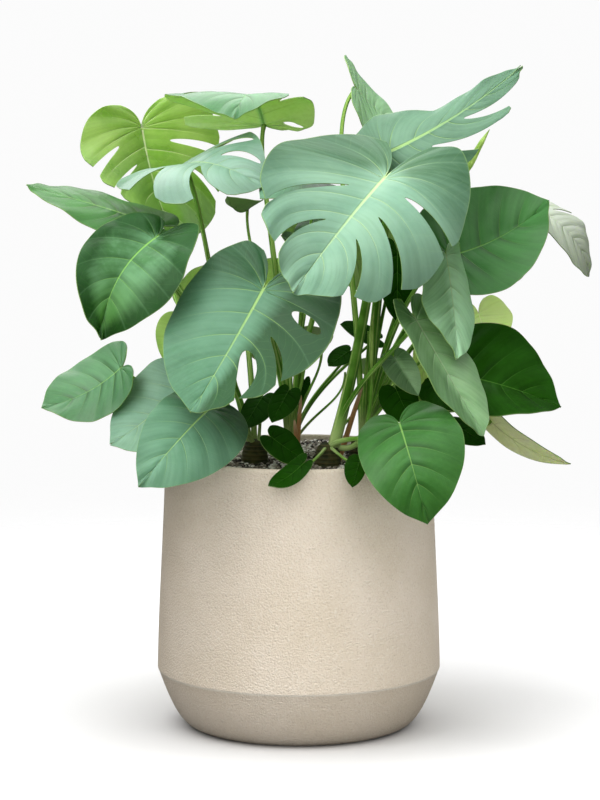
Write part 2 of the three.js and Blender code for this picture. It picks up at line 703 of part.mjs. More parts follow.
// Flat point to space: along the arched midrib, then out over the folded and curled half
function bladePoint(leaf, frame, side, x, y) {
  const { base, chord, up, lift } = frame;
  const inside = clamp(y, 0, 1);
  const rise = 4 * inside * (1 - inside) + Math.min(0, 4 * y);
  const point = base.clone().addScaledVector(chord, y).addScaledVector(lift, rise);
  const along = chord.clone().addScaledVector(lift, 4 - 8 * inside).normalize();
  const twist = radians(leaf.twist ?? 0) * y;
  const normal = up.clone().projectOnPlane(along).normalize().applyAxisAngle(along, twist);
  const across = along.clone().cross(normal);
  const half = side < 0 ? 0 : 1;
  const slimmer = (leaf.slim?.[half] ?? 0) * clamp(y / SLIM_FROM, 0, 1);
  const width = leaf.width[half] * (1 - slimmer);
  const fold = radians(leaf.fold[half]);
  const bend = radians(leaf.curl[half]) / width + TINY;
  const turn = fold + bend * x * width;
  const out = (Math.sin(turn) - Math.sin(fold)) / bend;
  const high = (Math.cos(fold) - Math.cos(turn)) / bend;
  return point.addScaledVector(across, side * out).addScaledVector(normal, high);
}

// How much of the corner rounding falls on a column at a distance from a slit's edge
function cornerShare(cut, distance) {
  return cut && !cut.to ? Math.max(0, 1 - distance / CORNER_REACH) : 0;
}

// Triangles of the blade's middle surface: points on the same flat place are one vertex
function bladeSurface(leaf) {
  const { columns, rows } = GRIDS[leaf.grid];
  const cuts = leaf.cuts ?? [];
  const frame = bladeFrame(leaf);
  const starts = cuts.map((cut) => cut.at[0]);
  const places = [...new Set([...columns, ...starts])].sort((a, b) => a - b);
  const found = new Map();
  const points = [];
  const halves = [];
  const triangles = [];
  const vertex = (side, place, row, reach) => {
    const [x, y] = veinPoint(place, row * reach, leaf.lobe ?? 1);
    const key = `${Math.round((side * x) / SAME_PLACE)} ${Math.round(y / SAME_PLACE)}`;
    if (!found.has(key)) {
      found.set(key, points.length);
      points.push(bladePoint(leaf, frame, side, x, y));
      const rib = Math.max(0, 1 - row / rows[1]) * (1 - MIDRIB_TAPER * clamp(y, 0, 1));
      halves.push(lerp(BLADE_THICKNESS, MIDRIB_THICKNESS, rib) / 2);
    }
    return found.get(key);
  };
  for (const side of [-1, 1]) {
    const own = cuts.filter((cut) => cut.side === side).sort((a, b) => a.at[0] - b.at[0]);
    const ends = [null, ...own, null];
    for (let k = 0; k + 1 < ends.length; k += 1) {
      const [before, after] = [ends[k], ends[k + 1]];
      const low = before?.at[0] ?? 0;
      const high = after?.at[0] ?? 1;
      const inner = places.filter((place) => place >= low && place <= high);
      const lines = inner.map((place) => {
        const corner = Math.max(cornerShare(before, place - low), cornerShare(after, high - place));
        return warpedRows(rows, own, place).map((row) => {
          const from = before ? cutEdge(before, row, 1) : 0;
          const to = after ? cutEdge(after, row, -1) : 1;
          const outer = Math.max(0, row - CORNER_FROM) / (1 - CORNER_FROM);
          const column = lerp(from, to, (place - low) / (high - low));
          return vertex(side, column, row, 1 - CORNER_ROUND * corner * outer);
        });
      });
      for (let i = 0; i + 1 < lines.length; i += 1) {
        for (let j = 0; j + 1 < rows.length; j += 1) {
          const [a, b] = [lines[i][j], lines[i][j + 1]];
          const [d, c] = [lines[i + 1][j], lines[i + 1][j + 1]];
          if (side > 0) triangles.push([a, b, c], [a, c, d]);
          else triangles.push([a, c, b], [a, d, c]);
        }
      }
    }
  }
  return {
    points,
    halves,
    triangles: triangles.filter(([a, b, c]) => a !== b && b !== c && c !== a),
  };
}

// Closed blade: the middle surface moved half a thickness both ways, and its edges walled
function bladeGeometry(leaf) {
  const { points, halves, triangles } = bladeSurface(leaf);
  const normals = points.map(() => new THREE.Vector3());
  const edges = new Map();
  for (const [a, b, c] of triangles) {
    const ab = points[b].clone().sub(points[a]);
    const area = ab.cross(points[c].clone().sub(points[a]));
    for (const corner of [a, b, c]) normals[corner].add(area);
    for (const [from, to] of [[a, b], [b, c], [c, a]]) {
      if (edges.has(`${to} ${from}`)) edges.delete(`${to} ${from}`);
      else edges.set(`${from} ${to}`, [from, to]);
    }
  }
  const positions = [];
  for (const way of [1, -1]) {
    points.forEach((point, i) => {
      const face = point.clone().addScaledVector(normals[i].clone().normalize(), way * halves[i]);
      positions.push(...face.toArray());
    });
  }
  const under = points.length;
  const indices = [];
  for (const [a, b, c] of triangles) indices.push(a, b, c, a + under, c + under, b + under);
  for (const [from, to] of edges.values()) {
    indices.push(from, from + under, to + under, from, to + under, to);
  }
  return makeGeometry(positions, indices);
}

// Tapered closed tube along a curve, widened in its lower part by its sheath
function tube(curve, [foot, head], sheath = 0) {
  const frames = curve.computeFrenetFrames(STALK_STEPS, false);
  const positions = [];
  const indices = [];
  for (let step = 0; step <= STALK_STEPS; step += 1) {
    const share = step / STALK_STEPS;
    const centre = curve.getPointAt(share);
    const radius = lerp(foot, head, share);
    const bulge = Math.sin(Math.PI * clamp(share / SHEATH_SHARE, 0, 1));
    const wide = radius * (1 + sheath * bulge);
    for (let side = 0; side < STALK_SIDES; side += 1) {
      const angle = (side / STALK_SIDES) * 2 * Math.PI;
      const point = centre.clone()
        .addScaledVector(frames.normals[step], radius * Math.cos(angle))
        .addScaledVector(frames.binormals[step], wide * Math.sin(angle));
      positions.push(...point.toArray());
      if (step < STALK_STEPS) {
        const here = step * STALK_SIDES;
        const [a, b] = [here + side, here + ((side + 1) % STALK_SIDES)];
        indices.push(a, b, b + STALK_SIDES, a, b + STALK_SIDES, a + STALK_SIDES);
      }
    }
  }
  const last = STALK_STEPS * STALK_SIDES;
  for (let side = 1; side + 1 < STALK_SIDES; side += 1) {
    indices.push(0, side + 1, side, last, last + side, last + side + 1);
  }
  return makeGeometry(positions, indices);
}

// A stalk leaves the cane, rises, and comes in to its end along the approach given
function stalkCurve(plan, end, approach) {
  const [x, y] = CROWNS[plan.crown];
  const foot = new THREE.Vector3(x, y, SOIL_TOP + CANE_RISE);
  const reach = end.clone().sub(foot);
  const outwards = new THREE.Vector3(reach.x, reach.y, 0);
  const start = foot.add(outwards.clone().setLength(STALK_START));
  const rise = start.clone().addScaledVector(outwards, plan.lean ?? STALK_LEAN);
  rise.z += reach.z * (plan.rise ?? STALK_LIFT);
  return new THREE.CubicBezierCurve3(start, rise, end.clone().sub(approach), end);
}

// It meets the blade from behind, and from the tip's side where the blade hangs. The gap that stays
// is enough for its end, cut square and with flat sides, to clear the blade.
function leafStalk(leaf) {
  const { base, along, normal } = bladeFrame(leaf);
  const [x, y] = CROWNS[leaf.crown];
  const distance = base.distanceTo(new THREE.Vector3(x, y, SOIL_TOP + CANE_RISE));
  const hang = along.z < 0 ? -STALK_HANG : 0;
  const approach = normal.clone().addScaledVector(along, hang).setLength(STALK_LEAD * distance);
  approach.sub(new THREE.Vector3(...(leaf.bend ?? [0, 0, 0])));
  const tilt = Math.sin(approach.angleTo(normal));
  const droop = Math.max(0, -Math.sin(radians(Math.min(...leaf.fold))));
  const reach = leaf.stalk[1] * Math.cos(Math.PI / STALK_SIDES);
  const clearance = MIDRIB_THICKNESS / 2 + 2 * GAP + reach * (tilt + droop);
  const end = base.clone().addScaledVector(normal, -clearance);
  return tube(stalkCurve(leaf, end, approach), leaf.stalk, leaf.sheath);
}

function spearStalk(spear) {
  const base = new THREE.Vector3(...spear.base);
  const along = new THREE.Vector3(...spear.tip).sub(base).normalize();
  const end = base.clone().addScaledVector(along, -GAP);
  return tube(stalkCurve(spear, end, along.multiplyScalar(SPEAR_LEAD)), spear.stalk);
}

function bareStalk(plan) {
  const approach = new THREE.Vector3(0, 0, BARE_LEAD);
  return tube(stalkCurve(plan, new THREE.Vector3(...plan.end), approach), plan.stalk);
}

// A cane stands in the soil and narrows to a rounded top, where its stalks leave it
function caneProfile() {
  const top = SOIL_TOP + CANE_RISE;
  return [
    [0, SOIL_TOP - CANE_DEPTH],
    [CANE_RADIUS, SOIL_TOP - CANE_DEPTH],
    [CANE_RADIUS, GRAVEL_TOP],
    [CANE_SHOULDER, (GRAVEL_TOP + top) / 2],
    [CANE_NECK, top],
    [0, top + CANE_DOME],
  ];
}

// A crown is one body: its cane and every stalk that leaves it
function crownSolid(name) {
  const [x, y] = CROWNS[name];
  const isOwn = (plan) => plan.crown === name;
  const stalks = [
    ...LEAVES.filter(isOwn).map(leafStalk),
    ...SPEARS.filter(isOwn).map(spearStalk),
    ...BARE_STALKS.filter(isOwn).map(bareStalk),
  ];
  const cane = turned(caneProfile(), CANE_SIDES).translate(x, y, 0);
  return stalks.reduce((solid, stalk) => solid.add(toSolid(stalk)), toSolid(cane));
}

// Turn that stands an upright piece along a line, about the line's start
function stand(geometry, start, end) {
  const along = new THREE.Vector3(...end).sub(new THREE.Vector3(...start)).normalize();
  const upright = new THREE.Vector3(0, 1, 0);
  geometry.applyQuaternion(new THREE.Quaternion().setFromUnitVectors(upright, along));
  geometry.translate(...start);
  return geometry;
}

function lengthOf(start, end) {
  return new THREE.Vector3(...end).distanceTo(new THREE.Vector3(...start));
}

function spearGeometry({ base, tip, radius }) {
  const length = lengthOf(base, tip);
  const points = SPEAR_PROFILE.map(([out, share]) => new THREE.Vector2(out * radius, share * length));
  return stand(new THREE.LatheGeometry(points, SPEAR_SIDES), base, tip);
}

// A flat strip, broad at its foot and nearly pointed at its tip
function driedGeometry({ foot, tip, width }) {
  const length = lengthOf(foot, tip);
  const half = width / 2;
  const shape = new THREE.Shape();
  shape.moveTo(-half, 0);
  shape.lineTo(half, 0);
  shape.quadraticCurveTo(half, length * DRIED_SHOULDER, DRIED_TIP, length);
  shape.lineTo(-DRIED_TIP, length);
  shape.quadraticCurveTo(-half, length * DRIED_SHOULDER, -half, 0);
  const options = { depth: DRIED_THICKNESS, bevelEnabled: false, curveSegments: 5 };
  return stand(new THREE.ExtrudeGeometry(shape, options), foot, tip);
}

const plant = new THREE.Group();
plant.name = 'potted_swiss_cheese_plant';

function add(name, geometry, color, roughness) {
  const material = new THREE.MeshStandardMaterial({ color, roughness, metalness: 0 });
  const mesh = new THREE.Mesh(geometry, material);
  mesh.name = name;
  plant.add(mesh);
}

const soil = withoutCanes(toSolid(turned(soilProfile(), POT_SIDES)));
const gravel = withoutCanes(toSolid(gravelGeometry()));
add('pot', turned(potProfile(), POT_SIDES), ...POT_LOOK);
add('soil', toGeometry(soil), ...SOIL_LOOK);
add('gravel', toGeometry(gravel), ...GRAVEL_LOOK);
for (const name of Object.keys(CROWNS)) {
  add(`crown_${name}`, toGeometry(crownSolid(name)), ...STALK_LOOK);
}
for (const leaf of LEAVES) {
  add(leaf.name, bladeGeometry(leaf), COLOURS[leaf.colour], BLADE_ROUGHNESS);
}
for (const sheath of DRIED) {
  add(sheath.name, driedGeometry(sheath), ...DRIED_LOOK);
}
for (const spear of SPEARS) {
  add(spear.name, spearGeometry(spear), COLOURS.young, BLADE_ROUGHNESS);
}

export default plant;
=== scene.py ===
import json
import math

import bpy
import numpy as np
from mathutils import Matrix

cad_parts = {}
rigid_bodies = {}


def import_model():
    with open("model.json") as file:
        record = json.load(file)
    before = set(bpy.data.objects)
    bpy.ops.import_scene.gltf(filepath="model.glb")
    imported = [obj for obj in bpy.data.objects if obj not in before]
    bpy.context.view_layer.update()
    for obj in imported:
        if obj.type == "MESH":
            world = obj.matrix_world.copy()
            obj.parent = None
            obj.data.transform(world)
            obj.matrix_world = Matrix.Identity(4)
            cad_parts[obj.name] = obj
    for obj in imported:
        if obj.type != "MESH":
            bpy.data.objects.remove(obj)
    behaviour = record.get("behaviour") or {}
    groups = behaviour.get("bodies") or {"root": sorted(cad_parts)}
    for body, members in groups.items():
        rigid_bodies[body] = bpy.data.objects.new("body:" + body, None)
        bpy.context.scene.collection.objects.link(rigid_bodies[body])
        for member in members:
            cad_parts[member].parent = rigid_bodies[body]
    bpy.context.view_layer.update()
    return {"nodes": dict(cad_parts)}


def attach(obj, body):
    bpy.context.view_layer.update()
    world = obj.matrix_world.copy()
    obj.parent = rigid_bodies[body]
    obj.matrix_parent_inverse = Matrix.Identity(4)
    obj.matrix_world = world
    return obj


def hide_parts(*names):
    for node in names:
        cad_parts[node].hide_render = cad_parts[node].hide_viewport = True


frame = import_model()

# Photo table: a pale round floor that melts into a white room with a bright ceiling over it.
# Two soft lamps light everything. The others light only the planter, the plant, its young leaves
# or the floor, because the photograph shows these lit apart.
CAMERA_PLACE = (0.0016, -3.9, 0.905)
CAMERA_PITCH = 6.83
CAMERA_LENS = 132.4
CAMERA_REACH = 60
FLOOR_RADIUS = 2.6
FLOOR_SIDES = 96
FLOOR_FADE = (0.5, 2.3)
FLOOR_TONE = (0.97, 0.97, 0.97, 1)
FLOOR_BOUNCE = (0.24, 0.24, 0.235, 1)
WHITE = (1, 1, 1, 1)
WALL_LIGHT = 0.08
CEILING_LIGHT = 1.2
CEILING_FROM = (0.2, 0.95)
ROOM_WHITE = 0.97
LIT_APART = ("planter", "plant", "young", "floor")
# A lamp: its place, the point it looks at, its width, its power, its glare, and what it lights.
LAMPS = {
    "lamp_above": ((-0.2, -0.5, 2.5), (0, -0.05, 0.5), 1.8, 32, False, None),
    "lamp_front": ((0, -4.2, 1.3), (0, 0, 0.35), 1.4, 12, False, None),
    "lamp_planter": ((0.3, -2.2, 1.35), (0, 0, 0.2), 4.6, 76, False, "planter"),
    "lamp_planter_back": ((0.6, 2.4, 1.35), (0, 0, 0.2), 3.8, 50, False, "planter"),
    "lamp_plant": ((-2.0, -1.5, 2.5), (0, 0, 0.6), 3.2, 95, True, "plant"),
    "lamp_low": ((-1.6, -2.6, 0.8), (0, -0.1, 0.45), 1.6, 26, False, "plant"),
    "lamp_behind": ((-0.5, 2.0, 2.6), (0, 0, 0.7), 2.2, 42, True, "plant"),
    "lamp_young": ((1.6, -2.4, 1.4), (0.1, 0, 0.6), 2.0, 60, False, "young"),
    "lamp_floor": ((0, -0.6, 3.0), (0, -0.2, 0), 2.5, 32, False, "floor"),
}


def linear(code):
    """A colour for a shader from its hexadecimal code."""
    parts = [int(code[start : start + 2], 16) / 255 for start in (1, 3, 5)]
    bright = [part / 12.92 if part < 0.04045 else ((part + 0.055) / 1.055) ** 2.4 for part in parts]
    return (*bright, 1)


def add_node(tree, kind, inputs=None, **settings):
    """A shader node, its settings, and its inputs as numbers or as other nodes' sockets."""
    made = tree.nodes.new("ShaderNode" + kind)
    for key, value in settings.items():
        setattr(made, key, value)
    for socket, value in (inputs or {}).items():
        if isinstance(value, bpy.types.NodeSocket):
            tree.links.new(value, made.inputs[socket])
        else:
            made.inputs[socket].default_value = value
    return made


def ramp(value, low, high, start=0.0, end=1.0):
    """A smooth step of a value from start to end, between low and high."""
    inputs = {"Value": value, "From Min": low, "From Max": high, "To Min": start, "To Max": end}
    step = add_node(value.id_data, "MapRange", inputs, interpolation_type="SMOOTHSTEP")
    return step.outputs["Result"]


def blend(share, first, second, way="MIX"):
    """A mix of two colours, each a hexadecimal code, plain values or another node's output."""
    first, second = (linear(tone) if isinstance(tone, str) else tone for tone in (first, second))
    inputs = {0: share, 6: first, 7: second}
    return add_node(share.id_data, "Mix", inputs, data_type="RGBA", blend_type=way).outputs[2]


def paint(shader, tint, *layers):
    """The base colour: a first tint and over it layers, each a share and a colour."""
    for share, tone in layers:
        tint = blend(share, tint, tone)
    shader.id_data.links.new(tint, shader.inputs["Base Color"])


def new_material(name, **values):
    """A material, its tree and its Principled shader with the plain values given."""
    material = bpy.data.materials.new(name)
    material.use_nodes = True
    shader = material.node_tree.nodes["Principled BSDF"]
    for socket, value in values.items():
        shader.inputs[socket.replace("_", " ")].default_value = value
    return material, material.node_tree, shader


scene = bpy.context.scene
scene.view_settings.view_transform = "Standard"
world = bpy.data.worlds.new("bright_room")
world.use_nodes = True
tree = world.node_tree
way = add_node(tree, "TexCoord").outputs["Generated"]
upwards = add_node(tree, "SeparateXYZ", {0: way}).outputs["Z"]
ceiling = ramp(upwards, *CEILING_FROM, WALL_LIGHT, CEILING_LIGHT)
room = tree.nodes["Background"]
room.inputs["Color"].default_value = WHITE
tree.links.new(ceiling, room.inputs["Strength"])
backdrop = add_node(tree, "Background", {"Color": WHITE, "Strength": ROOM_WHITE})
seen = add_node(tree, "LightPath").outputs["Is Camera Ray"]
either = add_node(tree, "MixShader", {0: seen, 1: room.outputs[0], 2: backdrop.outputs[0]})
tree.links.new(either.outputs[0], tree.nodes["World Output"].inputs[0])
scene.world = world

camera_turn = (math.radians(90 - CAMERA_PITCH), 0, 0)
bpy.ops.object.camera_add(location=CAMERA_PLACE, rotation=camera_turn)
camera = bpy.context.object
camera.data.lens = CAMERA_LENS
camera.data.clip_end = CAMERA_REACH
scene.camera = camera

receivers = {name: bpy.data.collections.new("lit_" + name) for name in LIT_APART}
for name, (place, aim, size, power, glare, lit) in LAMPS.items():
    bpy.ops.object.light_add(type="AREA", location=place)
    lamp = bpy.context.object
    lamp.name = name
    lamp.data.size = size
    lamp.data.energy = power
    lamp.visible_glossy = glare
    if lit:
        lamp.light_linking.receiver_collection = receivers[lit]
    reach = [end - start for end, start in zip(aim, place)]
    pitch = math.atan2(math.hypot(reach[0], reach[1]), -reach[2])
    lamp.rotation_euler = (pitch, 0, math.atan2(reach[1], reach[0]) - math.pi / 2)

floor_paint, tree, shader = new_material("floor_paint", Roughness=0.9, Specular_IOR_Level=0.1)
seen = add_node(tree, "LightPath").outputs["Is Camera Ray"]
paint(shader, blend(seen, FLOOR_BOUNCE, FLOOR_TONE))
spot = add_node(tree, "TexCoord").outputs["Object"]
away = add_node(tree, "VectorMath", {0: spot}, operation="LENGTH").outputs["Value"]
tree.links.new(ramp(away, *FLOOR_FADE, 1, 0), shader.inputs["Alpha"])

bpy.ops.mesh.primitive_circle_add(vertices=FLOOR_SIDES, radius=FLOOR_RADIUS, fill_type="NGON")
floor = bpy.context.object
floor.name = "pale_floor"
floor.data.materials.append(floor_paint)

# Planter: a round shell of cast fibre clay with a fine sand-like skin, drawn here as its profile.
# A flat foot, a rounded lower band up to a crisp bevel, a leaning wall, and a soft rounded rim.
POT_SIDES = 144
POT_CREASE = 14
FOOT_RADIUS = 0.1395
BAND_CURVE = [(0.1405, 0.0008), (0.160, 0.002), (0.174, 0.034), (0.1885, 0.0752)]
BEVEL = [(0.1895, 0.0772), (0.18995, 0.0785), (0.19, 0.0798)]
BEVEL_HEIGHT = 0.0772
WALL_CURVE = [(0.1899, 0.084), (0.1885, 0.17), (0.1805, 0.27), (0.1785, 0.3645)]
RIM_CURVE = [(0.1785, 0.3652), (0.178, 0.3702), (0.169, 0.3705), (0.1682, 0.365)]
INSIDE = [
    (0.1678, 0.352), (0.1675, 0.33), (0.174, 0.185), (0.178, 0.086), (0.164, 0.038), (0.138, 0.014),
]
CURVE_STEPS = 14
RIM_STEPS = 9
CLAY_TONES = ("#f3e5d2", "#e9dac4")
CLAY_LIGHT = "#fbf4e8"
CLAY_DARK = "#bba994"
CLAY_BEVEL_HIGHLIGHT = "#f6efe2"
CLOUD_SCALE = 9.0
PORE_SCALE = 430.0
GRAIN_SCALE = 900.0
GRAIN_SHARE = 0.35
PORE_DEPTH = 0.0019
BAND_EDGE = 0.002
BEVEL_HIGHLIGHT_WIDTH = (0.0005, 0.0022)


def bezier(corners, steps):
    """Points along a cubic curve with four corners, both ends among them."""
    share = np.linspace(0, 1, steps)[:, None]
    rest = 1 - share
    first, second, third, last = (np.array(corner, float) for corner in corners)
    return (
        first * rest**3
        + 3 * second * share * rest**2
        + 3 * third * share**2 * rest
        + last * share**3
    )


def maths(operation, *terms):
    """One step of arithmetic on sockets, of which the first tells the tree, and plain numbers."""
    tree = terms[0].id_data
    return add_node(tree, "Math", dict(enumerate(terms)), operation=operation).outputs[0]


def times(first, second):
    return maths("MULTIPLY", first, second)


def plus(first, second):
    return maths("ADD", first, second)


def noise(tree, scale, detail=2.0, vector=None, roughness=0.5):
    """Noise over a piece in its own coordinates, or over the vector given."""
    if vector is None:
        vector = add_node(tree, "TexCoord").outputs["Object"]
    inputs = {"Vector": vector, "Scale": scale, "Detail": detail, "Roughness": roughness}
    return add_node(tree, "TexNoise", inputs).outputs["Fac"]


def relief(shader, height, depth, strength=1.0):
    """Bump of a depth in metres."""
    inputs = {"Height": height, "Distance": depth, "Strength": strength}
    bump = add_node(shader.id_data, "Bump", inputs)
    shader.id_data.links.new(bump.outputs["Normal"], shader.inputs["Normal"])


def put(piece, name, node_names, slot, *materials):
    """Names a finished piece, dresses it, and puts it in the place of its nodes."""
    piece.name = name
    piece.data.name = name
    if materials:
        piece.data.materials.clear()
    for material in materials:
        piece.data.materials.append(material)
    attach(piece, "root")
    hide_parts(*node_names)


def pick(*pieces):
    """Selects pieces, and makes the first of them the active one."""
    bpy.ops.object.select_all(action="DESELECT")
    for piece in pieces:
        piece.select_set(True)
    bpy.context.view_layer.objects.active = pieces[0]


def edit(piece, *steps):
    """Runs edit-mode steps on a whole piece."""
    pick(piece)
    bpy.ops.object.mode_set(mode="EDIT")
    bpy.ops.mesh.select_all(action="SELECT")
    for step in steps:
        step()
    bpy.ops.object.mode_set(mode="OBJECT")


clay, tree, shader = new_material("sand_clay", Specular_IOR_Level=0.35)
spot = add_node(tree, "TexCoord").outputs["Object"]
height = add_node(tree, "SeparateXYZ", {0: spot}).outputs[2]
off_bevel = maths("ABSOLUTE", maths("SUBTRACT", height, BEVEL_HEIGHT))
pores = noise(tree, PORE_SCALE)
grain = noise(tree, GRAIN_SCALE, 3.0)
cloud = noise(tree, CLOUD_SCALE, 3.0)
paint(
    shader,
    blend(ramp(cloud, 0.3, 0.7), *CLAY_TONES),
    (ramp(pores, 0.5, 0.75, 0, 0.45), CLAY_LIGHT),
    (ramp(pores, 0.45, 0.2, 0, 0.4), CLAY_DARK),
    # Painted shade: the lower band, which faces down, is a little darker below the bevel.
    (ramp(height, BEVEL_HEIGHT - BAND_EDGE, BEVEL_HEIGHT, 0.07, 0), CLAY_DARK),
    # Painted highlight: a thin pale line along the crest of the bevel.
    (ramp(off_bevel, *BEVEL_HIGHLIGHT_WIDTH, 0.6, 0), CLAY_BEVEL_HIGHLIGHT),
)
tree.links.new(ramp(grain, 0.3, 0.7, 0.6, 0.8), shader.inputs["Roughness"])
relief(shader, plus(pores, times(grain, GRAIN_SHARE)), PORE_DEPTH)

profile = np.concatenate(
    [
        bezier(BAND_CURVE, CURVE_STEPS),
        BEVEL,
        bezier(WALL_CURVE, CURVE_STEPS),
        bezier(RIM_CURVE, RIM_STEPS),
        INSIDE,
    ]
)
bpy.ops.mesh.primitive_circle_add(vertices=POT_SIDES, radius=FOOT_RADIUS, fill_type="NGON")
pot = bpy.context.object
bpy.ops.object.mode_set(mode="EDIT")
radius, height = FOOT_RADIUS, 0.0
for next_radius, next_height in profile:
    step_up = {"value": (0, 0, next_height - height)}
    bpy.ops.mesh.extrude_region_move(TRANSFORM_OT_translate=step_up)
    scale = next_radius / radius
    bpy.ops.transform.resize(value=(scale, scale, 1), center_override=(0, 0, next_height))
    radius, height = next_radius, next_height
bpy.ops.mesh.select_all(action="SELECT")
bpy.ops.mesh.normals_make_consistent(inside=False)
bpy.ops.object.mode_set(mode="OBJECT")
bpy.ops.object.shade_smooth_by_angle(angle=math.radians(POT_CREASE))
put(pot, "planter", ["pot"], "pot_clay", clay)

# Soil: dark potting mix that fills the planter up to the gravel, so the solid itself stays.
# Only crumbs of it could show, between the stones.
SOIL_TONES = ("#1c140e", "#4a3929")
CRUMB_SCALE = 240.0
CRUMB_DEPTH = 0.003

crumb, tree, shader = new_material("potting_soil", Roughness=0.95, Specular_IOR_Level=0.2)
lump = noise(tree, CRUMB_SCALE, 5.0, roughness=0.7)
paint(shader, blend(ramp(lump, 0.35, 0.7), *SOIL_TONES))
relief(shader, lump, CRUMB_DEPTH)
soil = frame["nodes"]["soil"]
soil.data.materials.clear()
soil.data.materials.append(crumb)

# Gravel: loose white, grey and brown stones of 4 to 9 mm over the soil, poured round the canes.
# One rough stone is modelled, and its turned and stretched copies lie on a bed of finer grit.
CANES = {"left": (-58, -52), "middle": (-12, -34), "right": (38, -88), "far_right": (84, -18)}
CANE_RADIUS = 17
CANE_GAP = 2
GRAVEL_RADIUS = 0.1668
GRAVEL_HEIGHT = 0.3605
BED_SIDES = 96
BED_DEPTH = 0.01
BED_TONE = 0.3
STONE_COUNT = 2300
STONE_SIZES = (0.0022, 0.0046)
STONE_BREADTH = (0.7, 1)
STONE_FLATNESS = (0.6, 0.9)
STONE_LIFT = (0.0002, 0.0018)
STONE_ROUGH = 0.22
STONE_TONES = ("#2f2a26", "#7d7368", "#b3aa9d", "#efece4")
SPECK_SCALE = 700.0
SPECK_DEPTH = 0.0006
MILLIMETRE = 0.001

random = np.random.default_rng(5)


def apply_modifier(piece, kind, **settings):
    pick(piece)
    modifier = piece.modifiers.new(kind.lower(), kind)
    for key, value in settings.items():
        setattr(modifier, key, value)
    bpy.ops.object.modifier_apply(modifier=modifier.name)


def joined(parts):
    """Several pieces as one, on the first of them."""
    pick(*parts)
    bpy.ops.object.join()
    return bpy.context.object


def mark(piece, name, values):
    """Keeps one number for each vertex, which a material reads."""
    layer = piece.data.attributes.new(name, "FLOAT", "POINT")
    layer.data.foreach_set("value", np.asarray(values, np.float32))


def turned(points, angle, first, second):
    """Points turned by an angle in the plane of two of their axes."""
    moved = points.copy()
    moved[:, first] = points[:, first] * math.cos(angle) - points[:, second] * math.sin(angle)
    moved[:, second] = points[:, first] * math.sin(angle) + points[:, second] * math.cos(angle)
    return moved


bpy.ops.object.select_all(action="DESELECT")
bed_middle = (0, 0, GRAVEL_HEIGHT - BED_DEPTH / 2)
bpy.ops.mesh.primitive_cylinder_add(
    vertices=BED_SIDES, radius=GRAVEL_RADIUS, depth=BED_DEPTH, location=bed_middle
)
bed = bpy.context.object
bpy.ops.object.transform_apply(location=True)
mark(bed, "tone", [BED_TONE] * len(bed.data.vertices))

bpy.ops.mesh.primitive_ico_sphere_add(subdivisions=1, radius=1)
stone = bpy.context.object
edit(stone, lambda: bpy.ops.transform.vertex_random(offset=STONE_ROUGH, seed=3))
corners = np.array([vertex.co[:] for vertex in stone.data.vertices])
faces = np.array([face.vertices[:] for face in stone.data.polygons])
bpy.data.objects.remove(stone)
spots, tones = [], []
while len(spots) < STONE_COUNT:
    spot = random.uniform(-GRAVEL_RADIUS, GRAVEL_RADIUS, 2)
    size = random.uniform(*STONE_SIZES)
    size = size * np.array([1, random.uniform(*STONE_BREADTH), random.uniform(*STONE_FLATNESS)])
    turn = random.uniform(0, 2 * math.pi, 2)
    tone = random.uniform()
    clear = [math.dist(spot, (x * MILLIMETRE, y * MILLIMETRE)) for x, y in CANES.values()]
    in_cane = min(clear) < (CANE_RADIUS + CANE_GAP) * MILLIMETRE
    if in_cane or math.hypot(*spot) > GRAVEL_RADIUS - size[0]:
        continue
    lie = GRAVEL_HEIGHT + random.uniform(*STONE_LIFT)
    rolled = turned(corners, turn[1], 1, 2) * size
    spots.append(turned(rolled, turn[0], 0, 1) + [*spot, lie])
    tones += [tone] * len(corners)
stones_mesh = bpy.data.meshes.new("stones")
shifted = np.concatenate([faces + len(corners) * count for count in range(STONE_COUNT)])
stones_mesh.from_pydata(np.concatenate(spots).tolist(), [], shifted.tolist())
stones = bpy.data.objects.new("stones", stones_mesh)
scene.collection.objects.link(stones)
mark(stones, "tone", tones)
gravel = joined([bed, stones])

pebble, tree, shader = new_material("gravel_stone", Roughness=0.8)
tone = add_node(tree, "Attribute", attribute_name="tone").outputs["Fac"]
speck = noise(tree, SPECK_SCALE, 3.0)
paint(
    shader,
    blend(ramp(tone, 0.1, 0.35), *STONE_TONES[:2]),
    (ramp(tone, 0.4, 0.6), STONE_TONES[2]),
    (ramp(tone, 0.7, 0.8), STONE_TONES[3]),
    (ramp(speck, 0.55, 0.75, 0, 0.5), STONE_TONES[0]),
)
relief(shader, speck, SPECK_DEPTH)
put(gravel, "gravel_layer", ["gravel"], "gravel", pebble)

# Crowns: four canes rooted through the gravel, with the leaf stalks that spring from their tops.
# A stalk is round with a pale groove along its inner side, sheathed below and jointed at its leaf.
CANE_TOP = 388
CANE_CAP = 4
CANE_DEPTH = 24
CANE_ROOT = 12
CANE_STEPS = 26
CANE_TAPER = 0.35
CAP_FROM = 0.8
CAP_ROUND = 18
RING_WIDTH = 0.04
RING_PITCH = 0.55
STALK_SIDES = 14
STALK_STEPS = 44
STALK_START = 6.8
STALK_LEAN = 0.12
STALK_LIFT = 0.5
STALK_LEAD = 0.16
STALK_HANG = 0.45
STALK_UNDER = 0.5
SHEATH_SHARE = 0.62
SHEATH_SWELL = 0.12
SHEATH_CUP = 0.5
GROOVE_DEPTH = 0.34
GROOVE_WIDTH = 0.5
GROOVE_RISE = 0.6
JOINT_LENGTH = 9
JOINT_SWELL = 0.22
WELD_DISTANCE = 2e-6
LEAF_VALUES = ("name", "crown", "colour", "look", "grid", "base", "tip", "face", "width", "stalk")
PLAIN_SHAPE = dict(fold=(5, 5), curl=(-10, -10))
LEAVES = []


def add_leaf(*values, **shape):
    """Adds a leaf to the list, with plain halves unless it has a fold and a curl of its own."""
    LEAVES.append({**PLAIN_SHAPE, **dict(zip(LEAF_VALUES, values)), **shape})


